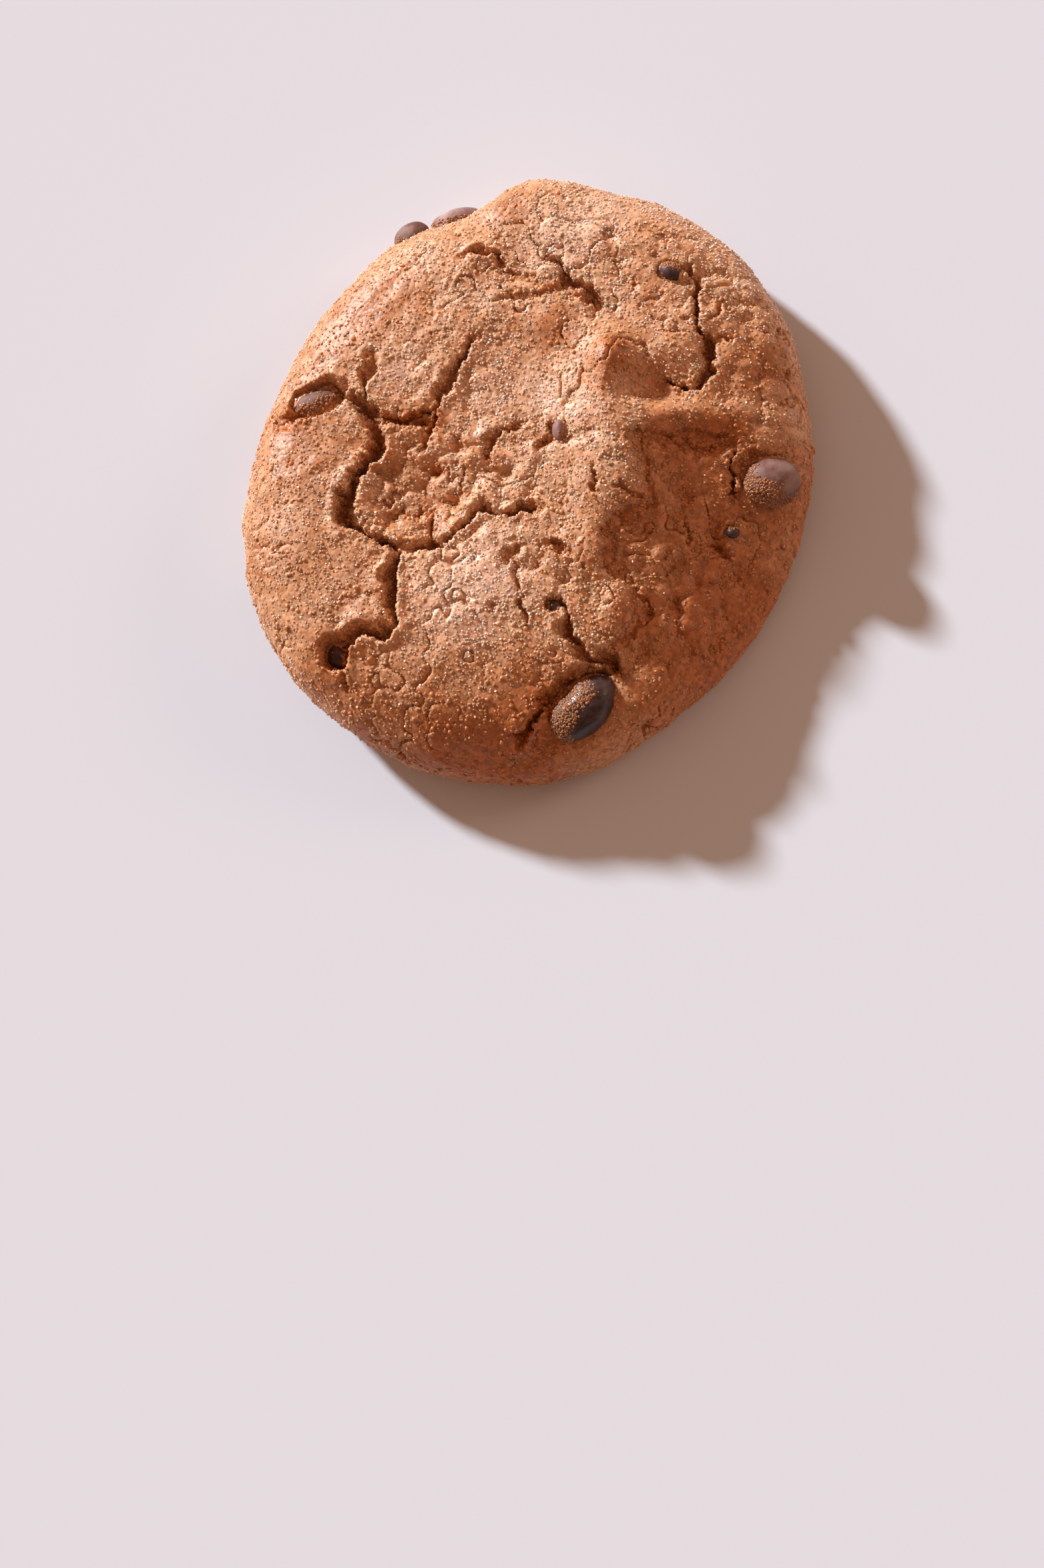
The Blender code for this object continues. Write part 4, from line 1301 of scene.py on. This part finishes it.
@dataclass
class Studio:
    """A pale seamless floor, one soft key light, a weak warm fill and the camera."""

    focal_mm: float = 100.0
    sensor_mm: float = 36.0
    near_m: float = 0.01
    photo_size: tuple[int, int] = (1568, 2355)
    centre_px: tuple[float, float] = (793.0, 718.0)
    px_per_mm: float = 13.2
    towards_camera: tuple[float, float, float] = (0.158, -0.268, 1.0)
    target_height: float = 7.0
    key_from: tuple[float, float, float] = (-0.68, 0.62, 0.4)
    key_strength: float = 5.55
    key_spread: float = 5.0
    key_colour: tuple[float, float, float] = (0.96, 0.98, 1.0)
    fill_from: tuple[float, float, float] = (0.75, 0.35, 0.4)
    fill_strength: float = 0.5
    fill_spread: float = 20.0
    fill_colour: tuple[float, float, float] = (1.0, 0.68, 0.5)
    room_colour: str = "#FFC4A0"
    room_strength: float = 0.36
    floor_colour: str = "#DBE2EE"
    floor_half: float = 900.0
    floor_roughness: float = 0.9
    floor_shine: float = 0.1

    def camera(self, shift: np.ndarray) -> None:
        """Place the camera so that the cookie lies where the photograph has it."""
        pitch = self.sensor_mm / self.photo_size[1]
        towards = Vector(self.towards_camera).normalized()
        up = Vector((0.0, 1.0, 0.0))
        up = (up - up.dot(towards) * towards).normalized()
        right = up.cross(towards)
        ray_frame = Matrix((right, up, towards)).transposed()
        offset = Vector(((self.centre_px[0] - self.photo_size[0] / 2.0) * pitch,
                         -(self.centre_px[1] - self.photo_size[1] / 2.0) * pitch,
                         -self.focal_mm))
        straight = Vector((0.0, 0.0, -1.0))
        swing = straight.rotation_difference(offset.normalized()).to_matrix()
        rotation = ray_frame @ swing.inverted()
        distance = self.focal_mm / (self.px_per_mm * pitch)
        target = Vector((shift[0], shift[1], self.target_height))
        camera_data = bpy.data.cameras.new("camera")
        camera_data.lens = self.focal_mm
        camera_data.sensor_fit = "AUTO"
        camera_data.sensor_width = self.sensor_mm
        camera_data.clip_start = self.near_m
        camera = placed("camera", camera_data)
        place = (target + towards * distance) * MM
        camera.matrix_world = Matrix.Translation(place) @ rotation.to_4x4()
        bpy.context.scene.camera = camera

    def sun(self, name: str, towards: tuple[float, float, float], strength: float,
            spread: float, colour: tuple[float, float, float]) -> None:
        """Hang one distant light.

        Args:
            name: what the light does.
            towards: the direction from the cookie to the light.
            strength: how strong it is.
            spread: how wide it looks, in degrees.
            colour: its linear colour.
        """
        light = bpy.data.lights.new(name, "SUN")
        light.energy = strength
        light.angle = math.radians(spread)
        light.color = colour
        lamp = placed(name, light)
        lamp.rotation_euler = Vector(towards).to_track_quat("Z", "Y").to_euler()

    def lights(self) -> None:
        """Hang the key light at the upper left and lift the shadows from around."""
        self.sun("key", self.key_from, self.key_strength, self.key_spread, self.key_colour)
        self.sun("fill", self.fill_from, self.fill_strength, self.fill_spread, self.fill_colour)
        world = bpy.data.worlds.new("soft room")
        world.use_nodes = True
        background = world.node_tree.nodes["Background"]
        background.inputs["Color"].default_value = linear(self.room_colour)
        background.inputs["Strength"].default_value = self.room_strength
        bpy.context.scene.world = world
        bpy.context.scene.view_settings.view_transform = "Standard"

    def floor(self) -> None:
        """Lay the plain pale floor under the cookie."""
        half = self.floor_half * MM
        mesh = bpy.data.meshes.new("floor")
        mesh.from_pydata([(-half, -half, 0.0), (half, -half, 0.0), (half, half, 0.0),
                          (-half, half, 0.0)], [], [(0, 1, 2, 3)])
        material, _, _ = blank_material("pale paper", {
            "Base Color": linear(self.floor_colour), "Roughness": self.floor_roughness,
            "Specular IOR Level": self.floor_shine})
        mesh.materials.append(material)
        floor = placed("floor", mesh)


@dataclass(frozen=True)
class Covers:
    """How thickly each kind of grain lies, from the tearing, the browning with its painted light,
    and the underside.
    """

    clear_start: float = 0.6
    clear_width: float = 0.6
    lip_torn: float = 0.12
    lip_width: float = 0.14
    crust: float = 0.75
    crust_torn: float = 0.6
    crumbs: float = 0.04
    crumbs_torn: float = 0.9
    crumbs_lip: float = 0.7
    sugar_torn: float = 0.6
    sugar_pale: float = 1.15

    def add(self, mesh: bpy.types.Mesh) -> None:
        """Give the dough's mesh one cover attribute for each kind of grain."""
        count = len(mesh.vertices)
        given = {}
        for name in ("torn", "underside", "browning_and_painted_light"):
            given[name] = np.empty(count, dtype=np.float32)
            mesh.attributes[name].data.foreach_get("value", given[name])
        torn = given["torn"]
        places = np.empty(3 * count, dtype=np.float32)
        mesh.vertices.foreach_get("co", places)
        clear = smooth_step((places[2::3] / MM - self.clear_start) / self.clear_width)
        lip = np.exp(-((torn - self.lip_torn) / self.lip_width) ** 2) * (torn > 0.0)
        upper = clear * (1.0 - given["underside"])
        unbrowned_unshaded = self.sugar_pale - np.maximum(given["browning_and_painted_light"], 0.0)
        covers = {
            "crust_cover": upper * (self.crust + self.crust_torn * torn),
            "crumb_cover": upper * (self.crumbs + self.crumbs_torn * torn
                                    + self.crumbs_lip * lip),
            "sugar_cover": upper * (1.0 - self.sugar_torn * torn) * unbrowned_unshaded,
        }
        for name, value in covers.items():
            give_values(mesh, name, value)


def dress_dough(body: CookieDough, finish: bpy.types.Material) -> None:
    """Build the dough with its grains, crumbs and sugar, in place of its solid."""
    dough = body.build()
    dough.data.materials.append(finish)
    Covers().add(dough.data)
    log.info("dough surface: %d faces", len(dough.data.polygons))
    sugar = SugarCrystal().material()
    pieces = [dough]
    for layer in (*CRUST_LAYERS, SUGAR_LAYER):
        grains = layer.build(dough, sugar if layer is SUGAR_LAYER else finish)
        pieces.append(grains)
        log.info("%s: %d faces", layer.name, len(grains.data.polygons))
    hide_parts("cookie_dough")
    for piece in pieces:
        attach(piece, "root")


def dress_chips(seed: int, crumb: bpy.types.Material) -> None:
    """Build each chip in place of its solid, and the crumb that lies on the chips."""
    tones = {tone: MeltedChocolate(tone).material() for tone in ChipTone}
    chips = []
    for number, (node, place) in enumerate(CHIPS.items()):
        chip = ChocolateChip(node, place, seed + number).build()
        chips.append(chip)
        chip.data.materials.append(tones[place.tone])
        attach(chip, "root")
        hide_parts(node)
        log.info("%s: %d faces", chip.name, len(chip.data.polygons))
    crumbs = CHIP_CRUMBS.build(gathered(chips), crumb)
    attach(crumbs, "root")
    log.info("%s: %d faces", CHIP_CRUMBS.name, len(crumbs.data.polygons))


def main() -> None:
    """Build the cookie's pieces in order and set the studio round them."""
    logging.basicConfig(level=logging.INFO, format="%(name)s: %(message)s")
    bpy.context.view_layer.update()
    studio = Studio()
    studio.floor()
    studio.lights()
    body = CookieDough()
    finish = BakedDough().material()
    dress_dough(body, finish)
    dress_chips(body.seed, finish)
    studio.camera(body.shift)


if __name__ == "__main__":
    main()
